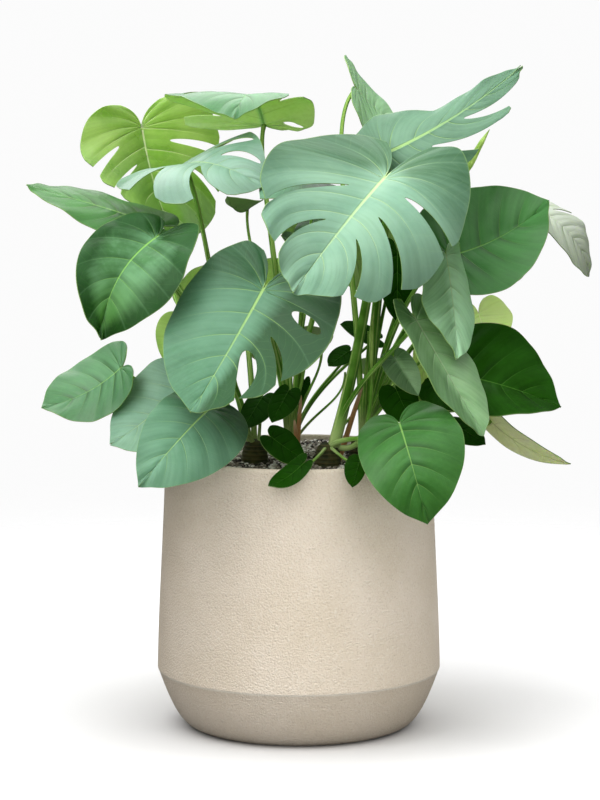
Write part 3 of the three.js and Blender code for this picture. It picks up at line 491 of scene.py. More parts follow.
def slit(side, at, start, gape):
    """A cut between two veins, from its start out to the margin, and its half widths at both."""
    return dict(side=side, at=at, start=start, gape=gape)


def hole(side, at, start, end, gape):
    """A cut that ends before the margin, and its half width in the middle."""
    return dict(side=side, at=at, start=start, end=end, gape=(gape,))


# A leaf in millimetres and degrees: the base where its stalk meets it, its drip tip, the way its
# upper side looks, the widths of its left and right half, and those of its stalk at foot and head.
# Arch and sway bow its midrib, fold and curl shape each half, and twist turns it along its length.
# Lobe stretches its heart lobes, slim narrows a half, and pleat deepens what lies between its veins.
# Lean and rise lead its stalk off the cane, bend leads it in to the blade, and sheath widens it.
add_leaf(
    "leaf_front_centre", "right", "pale", "waxy", "split",
    (110, -100, 736), (-8, -262, 602), (-15, 45), (140, 134), (9, 4),
    arch=5, fold=(22, 11), curl=(-75, 9), twist=-34, lobe=1.55, sheath=0.5, lean=0.65,
    cuts=[
        slit(1, (0.47, 0.64), 0.21, (0.022, 0.008)),
        slit(1, (0.67, 0.79), 0.23, (0.02, 0.02)),
        slit(-1, (0.43, 0.4), 0.32, (0.025, 0.02)),
        slit(-1, (0.56, 0.61), 0.25, (0.02, 0.02)),
        slit(-1, (0.685, 0.77), 0.27, (0.018, 0.02)),
    ],
)
add_leaf(
    "leaf_front_left", "middle", "pale", "bay", "split",
    (-46, -147, 596), (-135, -261, 452), (-10, 39), (131, 95), (5, 3.2),
    arch=-6, sway=1, fold=(9, 16), curl=(8, -23), twist=4, lobe=1.35,
    cuts=[
        hole(-1, (0.405, 0.41), 0.4, 0.84, 0.028),
        slit(-1, (0.54, 0.64), 0.36, (0.03, 0.01)),
        slit(-1, (0.665, 0.78), 0.2, (0.12, 0.008)),
    ],
)
add_leaf(
    "leaf_left_dark", "left", "deep", "forest", "plain",
    (-186, -105, 659), (-250, -205, 538), (-20, 30), (88, 62), (4, 2.6),
    pleat=1.5, arch=12, sway=13, fold=(21, 19), curl=(0, -15), twist=-45,
)
add_leaf(
    "leaf_far_left_long", "left", "grey", "meadow", "plain",
    (-193, -25, 674), (-357, -44, 725), (-10, 64), (59, 62), (4, 2.6),
    pleat=0.6, arch=2, fold=(0, 4), curl=(-12, -25), twist=10,
)
add_leaf(
    "leaf_young_left", "left", "young", "lime", "split",
    (-216, 150, 796), (-164, 95, 638), (22, 27), (123, 134), (4.5, 3),
    arch=-18, fold=(13, 30), curl=(-32, -10), twist=-22, lobe=0.98, lean=0.6, rise=0.25,
    bend=(30, -20, -90),
    cuts=[
        slit(-1, (0.435, 0.42), 0.28, (0.03, 0.02)),
        slit(-1, (0.54, 0.6), 0.45, (0.02, 0.02)),
        slit(1, (0.41, 0.46), 0.4, (0.03, 0.03)),
        slit(1, (0.54, 0.6), 0.22, (0.02, 0.02)),
    ],
)
add_leaf(
    "leaf_curled_left", "left", "pale", "mint", "split",
    (-151, 10, 750), (-43, -80, 726), (-13, 61), (82, 115), (4, 2.8),
    arch=20, sway=9, fold=(12, 22), curl=(-26, -29), twist=16, lean=0.5, rise=0.4,
    cuts=[
        hole(-1, (0.5, 0.62), 0.36, 0.92, 0.042),
        hole(-1, (0.645, 0.8), 0.26, 0.9, 0.034),
        slit(1, (0.42, 0.44), 0.3, (0.04, 0.06)),
        slit(1, (0.62, 0.7), 0.16, (0.05, 0.06)),
    ],
)
add_leaf(
    "leaf_top_centre", "middle", "mid", "sage", "split",
    (-47, 105, 801), (-85, -40, 812), (0, 90), (76, 126), (4, 2.8),
    arch=36, fold=(6, 6), curl=(-12, -12), lobe=0.3,
    cuts=[
        hole(-1, (0.3, 0.2), 0.4, 0.92, 0.03),
        slit(-1, (0.5, 0.55), 0.4, (0.02, 0.06)),
        slit(1, (0.36, 0.36), 0.45, (0.03, 0.06)),
        hole(1, (0.6, 0.66), 0.4, 0.92, 0.03),
    ],
)
add_leaf(
    "leaf_top_right", "far_right", "pale", "glaucous", "split",
    (117, -24, 768), (288, -80, 882), (15, 30), (74, 64), (9, 3.6),
    pleat=0.35, arch=-10, sway=5, fold=(-5, 5), curl=(-35, -15), lobe=0.9, slim=(0.6, 0),
    sheath=1.2,
    cuts=[
        slit(1, (0.52, 0.62), 0.3, (0.045, 0.07)),
        slit(1, (0.7, 0.8), 0.2, (0.04, 0.06)),
    ],
)
add_leaf(
    "leaf_top_folded", "far_right", "pale", "veiled", "plain",
    (77, 72, 850), (142, 132, 798), (62, 33), (73, 67), (4, 2.4),
    arch=-6, fold=(1, 4), curl=(-12, -16), twist=-8,
)
add_leaf(
    "leaf_right_heart", "far_right", "deep", "deep", "plain",
    (200, -50, 634), (329, -44, 706), (-29, 20), (89, 78), (4.5, 2.8),
    pleat=1.6, arch=-16, sway=3, fold=(9, 15), curl=(-11, -16), twist=-4, lobe=1.1,
)
add_leaf(
    "leaf_far_right_drooping", "far_right", "grey", "frost", "split",
    (313, 43, 694), (391, 62, 598), (30, 42), (69, 50), (4, 2.4),
    arch=24, sway=5, fold=(-10, 16), curl=(-27, 6), twist=10, lobe=0.8,
    cuts=[
        slit(-1, (0.45, 0.5), 0.3, (0.04, 0.03)),
    ],
)
add_leaf(
    "leaf_right_folded", "far_right", "pale", "dappled", "plain",
    (188, -131, 640), (202, -172, 511), (37, 8), (40, 66), (4, 2.4),
    pleat=0.5, arch=-16, sway=-16, fold=(4, 25), curl=(-36, -16), twist=11, lobe=0.4,
)
add_leaf(
    "leaf_right_long", "right", "grey", "ash", "plain",
    (150, -151, 557), (235, -196, 415), (39, 26), (60, 54), (4, 2.6),
    pleat=0.5, fold=(3, 22), curl=(-33, 6), twist=11,
)
add_leaf(
    "leaf_right_dark", "far_right", "deep", "shade", "plain",
    (200, -64, 479), (341, -100, 440), (12, 35), (92, 66), (4.5, 2.8),
    pleat=1.5, arch=16, sway=4, fold=(8, 14), curl=(-6, -17), twist=-20,
)
add_leaf(
    "leaf_front_right", "right", "mid", "meadow", "plain",
    (128, -209, 431), (161, -271, 314), (-2, 16), (73, 61), (4, 2.6),
    pleat=1.2, arch=24, fold=(7, 5), curl=(-23, -23), twist=-9,
)
add_leaf(
    "leaf_back_right_young", "far_right", "young", "sprout", "small",
    (243, 61, 548), (277, 38, 502), (12, 13), (43, 35), (3, 1.8),
    arch=-11, sway=4, fold=(9, 5), curl=(-6, -10), twist=4, lobe=1.3,
)
add_leaf(
    "leaf_young_small", "far_right", "young", "sprout", "small",
    (167, 60, 496), (169, 43, 433), (18, 19), (15, 15), (2.6, 1.6),
    arch=2, fold=(5, 10), curl=(-12, -8),
)
add_leaf(
    "leaf_low_right_narrow", "far_right", "olive", "olive", "small",
    (257, 0, 410), (361, -32, 356), (200, 45), (20, 36), (3, 1.8),
    arch=-8, sway=-3, fold=(-5, -5), curl=(-15, -15), twist=15,
)
add_leaf(
    "leaf_low_right_small", "far_right", "deep", "shade", "small",
    (203, -39, 409), (246, -61, 386), (16, 41), (19, 23), (2.6, 1.6),
    arch=2, fold=(4, 5), curl=(-11, -10),
)
add_leaf(
    "leaf_far_left_light", "left", "mid", "sage", "plain",
    (-233, -65, 487), (-337, -77, 437), (-14, 51), (61, 63), (3.5, 2.2),
    arch=-14, sway=2, fold=(13, 7), curl=(-15, -26), twist=-9, lobe=0.75,
)
add_leaf(
    "leaf_low_left_back", "left", "mid", "misty", "plain",
    (-151, -100, 471), (-244, -135, 396), (-11, 41), (70, 66), (3.5, 2.2),
    arch=-3, sway=-5, fold=(5, 4), curl=(-20, -20), twist=5,
)
add_leaf(
    "leaf_low_left_front", "left", "mid", "sea", "plain",
    (-115, -184, 447), (-200, -266, 360), (0, 31), (67, 53), (3.5, 2.2),
    pleat=1.3, arch=20, sway=-4, fold=(4, 10), curl=(-27, -17),
)
add_leaf(
    "leaf_small_front", "middle", "deep", "shade", "small",
    (-35, -146, 406), (9, -135, 376), (10, 43), (26, 24), (2.4, 1.5),
    arch=3, sway=4, fold=(11, 10), curl=(-18, -12),
)
add_leaf(
    "leaf_over_rim_left", "right", "deep", "shade", "small",
    (5, -192, 378), (-39, -213, 354), (0, 43), (14, 16), (2.2, 1.4),
    arch=-8, curl=(-20, -20),
)
add_leaf(
    "leaf_over_rim_right", "right", "deep", "shade", "small",
    (78, -188, 382), (68, -202, 350), (0, 30), (11, 17), (2.2, 1.4),
    arch=2,
)
add_leaf(
    "leaf_cupped", "middle", "mid", "forest", "small",
    (-69, 60, 689), (-95, -10, 710), (0, 82), (30, 16), (2.8, 1.8),
    arch=-10, fold=(32, 28), curl=(2, -2),
)
add_leaf(
    "leaf_behind_centre", "middle", "mid", "sea", "small",
    (25, -57, 730), (-50, -99, 711), (-10, 71), (45, 48), (2.8, 1.8),
    arch=7,
)
add_leaf(
    "leaf_left_young_edge", "left", "young", "lime", "small",
    (-145, 0, 532), (-169, 14, 475), (-21, 21), (45, 49), (2.8, 1.8),
)
add_leaf(
    "leaf_inner_left", "left", "deep", "shade", "small",
    (-48, -60, 448), (-73, -100, 411), (-10, 45), (24, 18), (2.4, 1.5),
)
add_leaf(
    "leaf_inner_middle", "middle", "deep", "shade", "small",
    (-14, -85, 458), (-35, -122, 423), (-5, 45), (20, 17), (2.4, 1.5),
)
add_leaf(
    "leaf_inner_grey", "far_right", "grey", "ash", "small",
    (126, -92, 502), (155, -115, 457), (18, 19), (20, 30), (2.6, 1.6),
    pleat=0.5, fold=(25, 24), curl=(0, 0),
)
add_leaf(
    "leaf_inner_right", "far_right", "deep", "shade", "small",
    (127, -72, 460), (148, -92, 416), (10, 30), (24, 28), (2.6, 1.6),
)
add_leaf(
    "leaf_inner_low", "far_right", "deep", "shade", "small",
    (172, -20, 451), (206, -50, 428), (10, 40), (26, 26), (2.6, 1.6),
)
add_leaf(
    "leaf_inner_top", "middle", "deep", "forest", "small",
    (28, 20, 621), (-24, -10, 658), (-10, 60), (40, 40), (2.8, 1.8),
)
add_leaf(
    "leaf_back_centre", "middle", "mid", "sea", "plain",
    (60, 150, 690), (90, 270, 560), (170, 35), (95, 95), (4, 2.6),
    arch=8, fold=(8, 8), curl=(-25, -25), lobe=1.1,
)
add_leaf(
    "leaf_back_right", "far_right", "deep", "forest", "plain",
    (210, 110, 650), (290, 200, 570), (140, 40), (80, 80), (4, 2.4),
    arch=8, fold=(8, 8), curl=(-20, -20),
)
add_leaf(
    "leaf_back_left", "left", "mid", "meadow", "plain",
    (-80, 150, 600), (-120, 270, 510), (200, 40), (85, 85), (4, 2.4),
    arch=8, fold=(8, 8), curl=(-22, -22),
)
add_leaf(
    "leaf_back_low", "far_right", "deep", "forest", "plain",
    (140, 150, 470), (190, 260, 400), (160, 45), (70, 70), (3.5, 2.2),
    arch=8, fold=(8, 8), curl=(-20, -20),
)
add_leaf(
    "leaf_inner_dark", "middle", "deep", "shade", "small",
    (67, -4, 503), (39, -24, 486), (-15, 40), (15, 17), (2.8, 1.7),
)
add_leaf(
    "leaf_inner_shade", "middle", "deep", "shade", "small",
    (104, 40, 517), (55, 15, 538), (-10, 50), (20, 20), (3, 1.8),
)
add_leaf(
    "leaf_inner_tall", "far_right", "deep", "shade", "small",
    (130, -10, 636), (128, -45, 547), (10, 20), (24, 26), (3.2, 2),
    arch=4, fold=(8, 8), curl=(-12, -12),
)
add_leaf(
    "leaf_inner_small", "middle", "deep", "shade", "small",
    (7, 5, 463), (-2, -12, 431), (-5, 30), (10, 12), (2.4, 1.5),
)
add_leaf(
    "leaf_behind_high", "middle", "deep", "forest", "small",
    (31, 84, 671), (2, 56, 635), (-10, 60), (26, 28), (3.2, 2),
    arch=4, curl=(-14, -14),
)
add_leaf(
    "leaf_back_middle", "middle", "mid", "sea", "plain",
    (-10, 90, 520), (-30, 200, 455), (188, 45), (62, 62), (3.4, 2.2),
    arch=8, fold=(8, 8), curl=(-20, -20),
)


def unit(vectors):
    return vectors / np.maximum(np.linalg.norm(vectors, axis=-1, keepdims=True), 1e-12)


def across_line(vectors, line):
    """The part of each vector that is square to a unit line."""
    return vectors - np.sum(vectors * line, axis=-1, keepdims=True) * line


def blade_frame(leaf):
    """Base, chord, the way the blade looks, its lift half way, and its line and normal at the base."""
    base = np.array(leaf["base"], float)
    chord = np.array(leaf["tip"], float) - base
    azimuth, elevation = (math.radians(angle) for angle in leaf["face"])
    up = np.array(
        [
            math.cos(elevation) * math.sin(azimuth),
            -math.cos(elevation) * math.cos(azimuth),
            math.sin(elevation),
        ]
    )
    up = unit(across_line(up, unit(chord)))
    right = unit(np.cross(chord, up))
    lift = up * leaf.get("arch", 0) + right * leaf.get("sway", 0)
    line = unit(chord + lift * 4)
    return base, chord, up, lift, line, unit(across_line(up, line))


def stalk_line(plan, end, approach):
    """Points along a stalk from its cane to its end, which it comes in to along the approach."""
    foot = np.array([*CANES[plan["crown"]], CANE_TOP], float)
    reach = end - foot
    outwards = np.array([reach[0], reach[1], 0])
    start = foot + unit(outwards) * STALK_START
    rise = start + outwards * plan.get("lean", STALK_LEAN)
    rise[2] += reach[2] * plan.get("rise", STALK_LIFT)
    return bezier((start, rise, end - approach, end), STALK_STEPS)


def shaped_grid(points, first_map, second_map):
    """A grid laid on points[column, row] in millimetres, with its two pattern maps."""
    columns, rows = points.shape[:2]
    bpy.ops.mesh.primitive_grid_add(x_subdivisions=columns - 1, y_subdivisions=rows - 1, size=2)
    piece = bpy.context.object
    mesh = piece.data
    spots = points.transpose(1, 0, 2).reshape(-1, 3) * MILLIMETRE
    mesh.vertices.foreach_set("co", spots.astype(np.float32).ravel())
    corner_spots = np.zeros(len(mesh.loops), np.int32)
    mesh.loops.foreach_get("vertex_index", corner_spots)
    mesh.uv_layers[0].name = "Course"
    mesh.uv_layers.new(name="Breadth")
    for layer, values in zip(mesh.uv_layers, (first_map, second_map)):
        spread = values.transpose(1, 0, 2).reshape(-1, 2)[corner_spots]
        layer.data.foreach_set("uv", spread.astype(np.float32).ravel())
    mesh.update()
    return piece


def tube(line, inner, radii, profile):
    """A closed tube along a line. Inner is the way its groove looks, and profile its section."""
    tangent = unit(np.gradient(line, axis=0))
    groove = unit(across_line(np.broadcast_to(inner, line.shape), tangent))
    side = np.cross(tangent, groove)
    angle = np.linspace(0, 2 * math.pi, len(profile[0]))
    points = np.empty((len(angle), len(line) + 2, 3))
    for column, turn in enumerate(angle):
        out = groove * math.cos(turn) * profile[0][column][:, None]
        out = out + side * math.sin(turn) * profile[1][column][:, None]
        points[column, 1:-1] = line + out * radii[:, None]
    points[:, 0] = line[0]
    points[:, -1] = line[-1]
    steps = np.linalg.norm(np.diff(line, axis=0), axis=1)
    reach = np.concatenate([[0, 0], np.cumsum(steps), [steps.sum()]])
    course = np.empty((*points.shape[:2], 2))
    course[..., 0] = (angle / (2 * math.pi))[:, None]
    course[..., 1] = np.concatenate([[0], np.linspace(0, 1, len(line)), [1]])
    breadth = np.empty_like(course)
    breadth[..., 0] = reach
    breadth[..., 1] = reach[-1] - reach
    return shaped_grid(points, course, breadth)


def weld(piece, distance=WELD_DISTANCE):
    edit(piece, lambda: bpy.ops.mesh.remove_doubles(threshold=distance))


def stalk_piece(plan, line):
    """A stalk with its groove, its sheath and the swollen joint under its blade."""
    share = np.linspace(0, 1, len(line))
    foot, head = plan["stalk"]
    length = np.linalg.norm(np.diff(line, axis=0), axis=1).sum()
    to_end = (1 - share) * length
    joint = np.exp(-(((to_end - JOINT_LENGTH) / JOINT_LENGTH) ** 2))
    radii = (foot + (head - foot) * share) * (1 + JOINT_SWELL * joint)
    bulge = np.sin(math.pi * np.clip(share / SHEATH_SHARE, 0, 1))
    sheath = plan.get("sheath", 0)
    angle = np.linspace(0, 2 * math.pi, STALK_SIDES + 1)
    off_groove = np.abs((angle + math.pi) % (2 * math.pi) - math.pi)
    groove = np.exp(-((off_groove / GROOVE_WIDTH) ** 2))[:, None]
    near_end = np.exp(-((to_end / (2 * JOINT_LENGTH)) ** 2))
    depth = (GROOVE_DEPTH + SHEATH_CUP * sheath * bulge) * (1 - near_end)
    along = 1 - groove * depth
    wide = np.broadcast_to(1 + (SHEATH_SWELL + sheath) * bulge, along.shape)
    outwards = line[-1] - line[0]
    upwards = GROOVE_RISE * np.hypot(*outwards[:2])
    inner = unit(np.array([-outwards[0], -outwards[1], upwards]))
    return tube(line, inner, radii, (along, wide))


def leaf_stalk(leaf):
    """The stalk of a leaf, which meets its blade from below."""
    base, _, _, _, line, normal = blade_frame(leaf)
    distance = math.dist(base, (*CANES[leaf["crown"]], CANE_TOP))
    hang = -STALK_HANG if line[2] < 0 else 0
    approach = unit(normal + line * hang) * STALK_LEAD * distance
    approach = approach - np.array(leaf.get("bend", (0, 0, 0)))
    return stalk_piece(leaf, stalk_line(leaf, base - normal * STALK_UNDER, approach))


def cane_piece(name):
    """A cane with the rings that fallen leaves left, narrowed to a rounded top."""
    low, top = CANE_TOP - CANE_DEPTH, CANE_TOP + CANE_CAP
    foot = low - CANE_ROOT
    height = np.concatenate([[foot], np.linspace(foot, top, CANE_STEPS)])
    share = np.clip((height - low) / (top - low), 0, 1)
    rings = 1 + RING_WIDTH * np.abs(np.sin(height * RING_PITCH))
    cap = 1 - (share - CAP_FROM) ** 2 * CAP_ROUND * (share > CAP_FROM)
    radii = CANE_RADIUS * (1 - CANE_TAPER * share**2) * rings * np.sqrt(np.clip(cap, 0.02, 1))
    line = np.zeros((len(height), 3))
    line[:, :2] = CANES[name]
    line[:, 2] = height + np.arange(len(height)) * 1e-3
    ones = np.ones((STALK_SIDES * 2 + 1, len(height)))
    return tube(line, np.array([0, -1.0, 0]), radii, (ones, ones))


SPEARS = [
    dict(
        name="new_leaf_right", crown="far_right", radius=5, stalk=(3, 2.4),
        base=(226, 40, 742), tip=(254, 30, 797),
    ),
    dict(
        name="new_leaf_middle", crown="right", radius=3, stalk=(4.6, 2.8),
        base=(95, -90, 490), tip=(98, -96, 572), lean=0.9, rise=-0.16,
    ),
]
SPEAR_LEAD = 50
BARE_STALKS = [
    dict(crown="far_right", end=(91, -62, 536), stalk=(4.2, 0.8)),
    dict(crown="middle", end=(9, -70, 510), stalk=(2.4, 1.5)),
    dict(crown="middle", end=(30, -62, 511), stalk=(2.4, 1.5)),
    dict(crown="middle", end=(61, -50, 481), stalk=(2.2, 1.3), lean=0.4),
    dict(crown="right", end=(83, -50, 460), stalk=(2.2, 1.3), lean=0.3),
]
BARE_LEAD = 40
RIND_TONES = ("#4b821f", "#75ae40")
RIND_STREAK = "#b4d578"
RIND_ABOVE = "#6ba038"
RIND_GROOVE = "#aac86a"
RIND_JOINT = "#86a850"
RIND_FOOT = "#c2d690"
JOINT_FADE = (4.0, 22.0)
FOOT_FADE = (8.0, 55.0)
RIND_MOTTLE = 22.0
GROOVE_FADE = (0.03, 0.11)
STREAK_STRETCH = (9.0, 1.4)
STREAK_DEPTH = 0.0004
BARK_TONES = ("#2a3016", "#4a4a24")
BARK_RING = "#6b5f3a"
BARK_MOTTLE = 90.0
BARK_PITCH = 1100.0
BARK_DEPTH = 0.0006


def pattern_map(tree, name):
    """The two values of a pattern map of a grid."""
    spot = add_node(tree, "UVMap", uv_map=name).outputs[0]
    return add_node(tree, "SeparateXYZ", {0: spot}).outputs[:2]


def off_whole(value):
    """How far a value lies above or below the nearest whole number."""
    return maths("SUBTRACT", value, maths("ROUND", value))


def stretched(first, second, stretch):
    """A vector of two values, each stretched by its own factor, to lay noise along."""
    first, second = times(first, stretch[0]), times(second, stretch[1])
    return add_node(first.id_data, "CombineXYZ", {0: first, 1: second}).outputs[0]


rind, tree, shader = new_material("stalk_rind", Roughness=0.45, Specular_IOR_Level=0.2)
around, along = pattern_map(tree, "Course")
from_foot, from_leaf = pattern_map(tree, "Breadth")
off_groove = maths("ABSOLUTE", off_whole(around))
streaks = noise(tree, 1.0, 3.0, stretched(around, along, STREAK_STRETCH))
mottle = noise(tree, RIND_MOTTLE, 3.0)
paint(
    shader,
    blend(ramp(mottle, 0.35, 0.65), *RIND_TONES),
    (ramp(streaks, 0.5, 0.6, 0, 0.85), RIND_STREAK),
    (ramp(along, 0.5, 1.0, 0, 0.4), RIND_ABOVE),
    (ramp(off_groove, *GROOVE_FADE, 0.55, 0), RIND_GROOVE),
    (ramp(from_leaf, *JOINT_FADE, 0.6, 0), RIND_JOINT),
    (ramp(from_foot, *FOOT_FADE, 0.7, 0), RIND_FOOT),
)
relief(shader, streaks, STREAK_DEPTH, 0.6)

bark, tree, shader = new_material("cane_bark", Roughness=0.75)
spot = add_node(tree, "TexCoord").outputs["Object"]
height = add_node(tree, "SeparateXYZ", {0: spot}).outputs[2]
rings = maths("SINE", times(height, BARK_PITCH))
mottle = noise(tree, BARK_MOTTLE, 4.0)
paint(
    shader,
    blend(ramp(mottle, 0.35, 0.65), *BARK_TONES),
    (ramp(rings, 0.6, 1.0, 0, 0.5), BARK_RING),
)
relief(shader, plus(mottle, rings), BARK_DEPTH)


def spear_stalk(spear):
    base = np.array(spear["base"], float)
    line = unit(np.array(spear["tip"]) - base)
    return stalk_piece(spear, stalk_line(spear, base, line * SPEAR_LEAD))


def bare_stalk(plan):
    end = np.array(plan["end"], float)
    return stalk_piece(plan, stalk_line(plan, end, np.array([0, 0, BARE_LEAD])))


for crown in CANES:
    cane = cane_piece(crown)
    cane.data.materials.append(bark)
    stalks = [leaf_stalk(leaf) for leaf in LEAVES if leaf["crown"] == crown]
    stalks += [spear_stalk(spear) for spear in SPEARS if spear["crown"] == crown]
    stalks += [bare_stalk(plan) for plan in BARE_STALKS if plan["crown"] == crown]
    for stalk in stalks:
        stalk.data.materials.append(rind)
    piece = joined([cane, *stalks])
    weld(piece)
    bpy.ops.object.shade_smooth()
    put(piece, "stalks_" + crown, ["crown_" + crown], "stalks")

# Leaf blades: leathery heart-shaped blades, the older ones split between their veins.
# Each half is laid out along its veins, between its slits, puffed a little between them, welded
# along the midrib and thickened, with an upper side, a paler underside and a thin pale edge.
HALF_OUTLINE = np.array(
    [
        (0.26, -0.19), (0.55, -0.2), (0.83, -0.08), (0.98, 0.12), (1, 0.33),
        (0.9, 0.54), (0.7, 0.72), (0.43, 0.865), (0.16, 0.95), (0, 1),
    ]
)
PALMATE = 0.38
LAST_VEIN = 0.93
SINUS_BEND = (0.04, -0.13)
VEIN_BEND = (0.55, 0.3)
CORNER_REACH = 0.05
CORNER_FROM = 0.6
CORNER_ROUND = 0.06
CUT_ROWS = (0, 0.012, 0.03, 0.055)
LEAST_STEP = 0.004
SLIM_FROM = 0.35
PLAIN_LENGTH = 170
PLEAT_CREST = 0.9
SWELL_START = 0.8
SWELL_REACH = 0.86
SWELL_FLANK = 1.2
LONG_WAVE = 2.1
SHORT_WAVE = 4.7
VEIN_WIDTH = (0.85, 0.35)
RIB_WIDTH = (2.0, 0.5)
RIB_GROWTH = 1.4
RIB_SPREAD = 1.2
RIB_END = 1.5
LEAST_WEIGHT = 0.02
BLADE_THICKNESS = 0.0011
RIB_THICKNESS = 0.0034
BLADE_WELD = 4e-6
BLADE_CREASE = 50
GRIDS = {
    "split": dict(columns=86, rows=24, veins=9, puff=1.2, wave=1.8),
    "plain": dict(columns=72, rows=18, veins=8, puff=1.3, wave=1.8),
    "small": dict(columns=44, rows=12, veins=6, puff=0.6, wave=0.8),
}


def outline_at(place):
    """The margin at a place from the sinus to the tip, on a smooth curve through its points."""
    last = len(HALF_OUTLINE) - 1
    reach = np.clip(place, 0, 1) * last
    start = np.minimum(np.floor(reach).astype(int), last - 1)
    share = (reach - start)[..., None]
    before, first, second, after = (
        HALF_OUTLINE[np.clip(start + step, 0, last)] for step in (-1, 0, 1, 2)
    )
    slope_in, slope_out = (second - before) / 2, (after - first) / 2
    return (
        (2 * first - 2 * second + slope_in + slope_out) * share**3
        + (-3 * first + 3 * second - 2 * slope_in - slope_out) * share**2
        + slope_in * share
        + first
    )


def mix(first, second, share):
    return first + (second - first) * share


def vein_point(place, row, lobe):
    """Flat place on a half blade, across in half widths and along in lengths, by its vein."""
    rim = outline_at(place)
    rim_along = np.where(rim[..., 1] < 0, rim[..., 1] * lobe, rim[..., 1])
    start = np.clip((place - PALMATE) / (1 - PALMATE), 0, 1) * LAST_VEIN
    share = np.clip(place / PALMATE, 0, 1)
    bend_across = mix(SINUS_BEND[0], VEIN_BEND[0] * rim[..., 0], share)
    bend_along = mix(SINUS_BEND[1] * lobe, start + VEIN_BEND[1] * (rim_along - start), share)
    rest = 1 - row
    across = 2 * bend_across * row * rest + rim[..., 0] * row**2
    return across, start * rest**2 + 2 * bend_along * row * rest + rim_along * row**2


def cut_edge(cut, row, way):
    """Column of a cut's edge at each row, on its sinus side (-1) or its tip side (1)."""
    end = cut.get("end", 1)
    share = np.clip((row - cut["start"]) / (end - cut["start"]), 0, 1)
    middle = mix(*cut["at"], share)
    if "end" in cut:
        return middle + way * cut["gape"][0] * np.sqrt(np.sin(math.pi * share).clip(0))
    return middle + way * np.sqrt(share) * mix(*cut["gape"], share)


def cut_drift(cut, row):
    """Column of the vein that a cut lies beside, which bows gently all the way from the midrib."""
    return mix(*cut["at"], np.clip(row / cut.get("end", 1), 0, 1) ** 2)


def blade_point(leaf, side, across, along, puff):
    """Points in space of a half blade, raised from its surface by the puff given."""
    base, chord, up, lift, _, _ = blade_frame(leaf)
    inside = np.clip(along, 0, 1)[..., None]
    rise = 4 * inside * (1 - inside) + np.minimum(0, 4 * along)[..., None]
    middle = base + chord * along[..., None] + lift * rise
    line = unit(chord + lift * (4 - 8 * inside))
    normal = unit(across_line(np.broadcast_to(up, line.shape), line))
    right = np.cross(line, normal)
    twist = (math.radians(leaf.get("twist", 0)) * along)[..., None]
    normal, right = (
        normal * np.cos(twist) + right * np.sin(twist),
        right * np.cos(twist) - normal * np.sin(twist),
    )
    half = 0 if side < 0 else 1
    slimmer = leaf.get("slim", (0, 0))[half] * np.clip(along / SLIM_FROM, 0, 1)
    width = leaf["width"][half] * (1 - slimmer)
    fold = math.radians(leaf["fold"][half])
    bend = math.radians(leaf["curl"][half]) / width + 1e-6
    turn = fold + bend * across * width
    out = ((np.sin(turn) - math.sin(fold)) / bend)[..., None]
    high = ((math.cos(fold) - np.cos(turn)) / bend)[..., None]
    surface = middle + right * side * out + normal * high
    raised = normal * np.cos(turn)[..., None] - right * side * np.sin(turn)[..., None]
    return surface + raised * puff[..., None], width


def corner_share(cut, distance):
    """How near a place is to the corner between a slit and the margin, which is rounded off."""
    if cut is None or "end" in cut:
        return np.zeros_like(distance)
    return np.maximum(0, 1 - distance / CORNER_REACH)


def blade_rows(plan, cuts):
    """The rows of a half blade from the midrib to the margin, closer at the ends of its cuts."""
    rows = list(np.linspace(0, 1, plan["rows"]))
    for cut in cuts:
        rows += [cut["start"] + step for step in CUT_ROWS]
        if "end" in cut:
            rows += [cut["end"] - step for step in CUT_ROWS]
    rows = np.unique(np.round(rows, 5))
    return rows[np.concatenate([[True], np.diff(rows) > LEAST_STEP])]


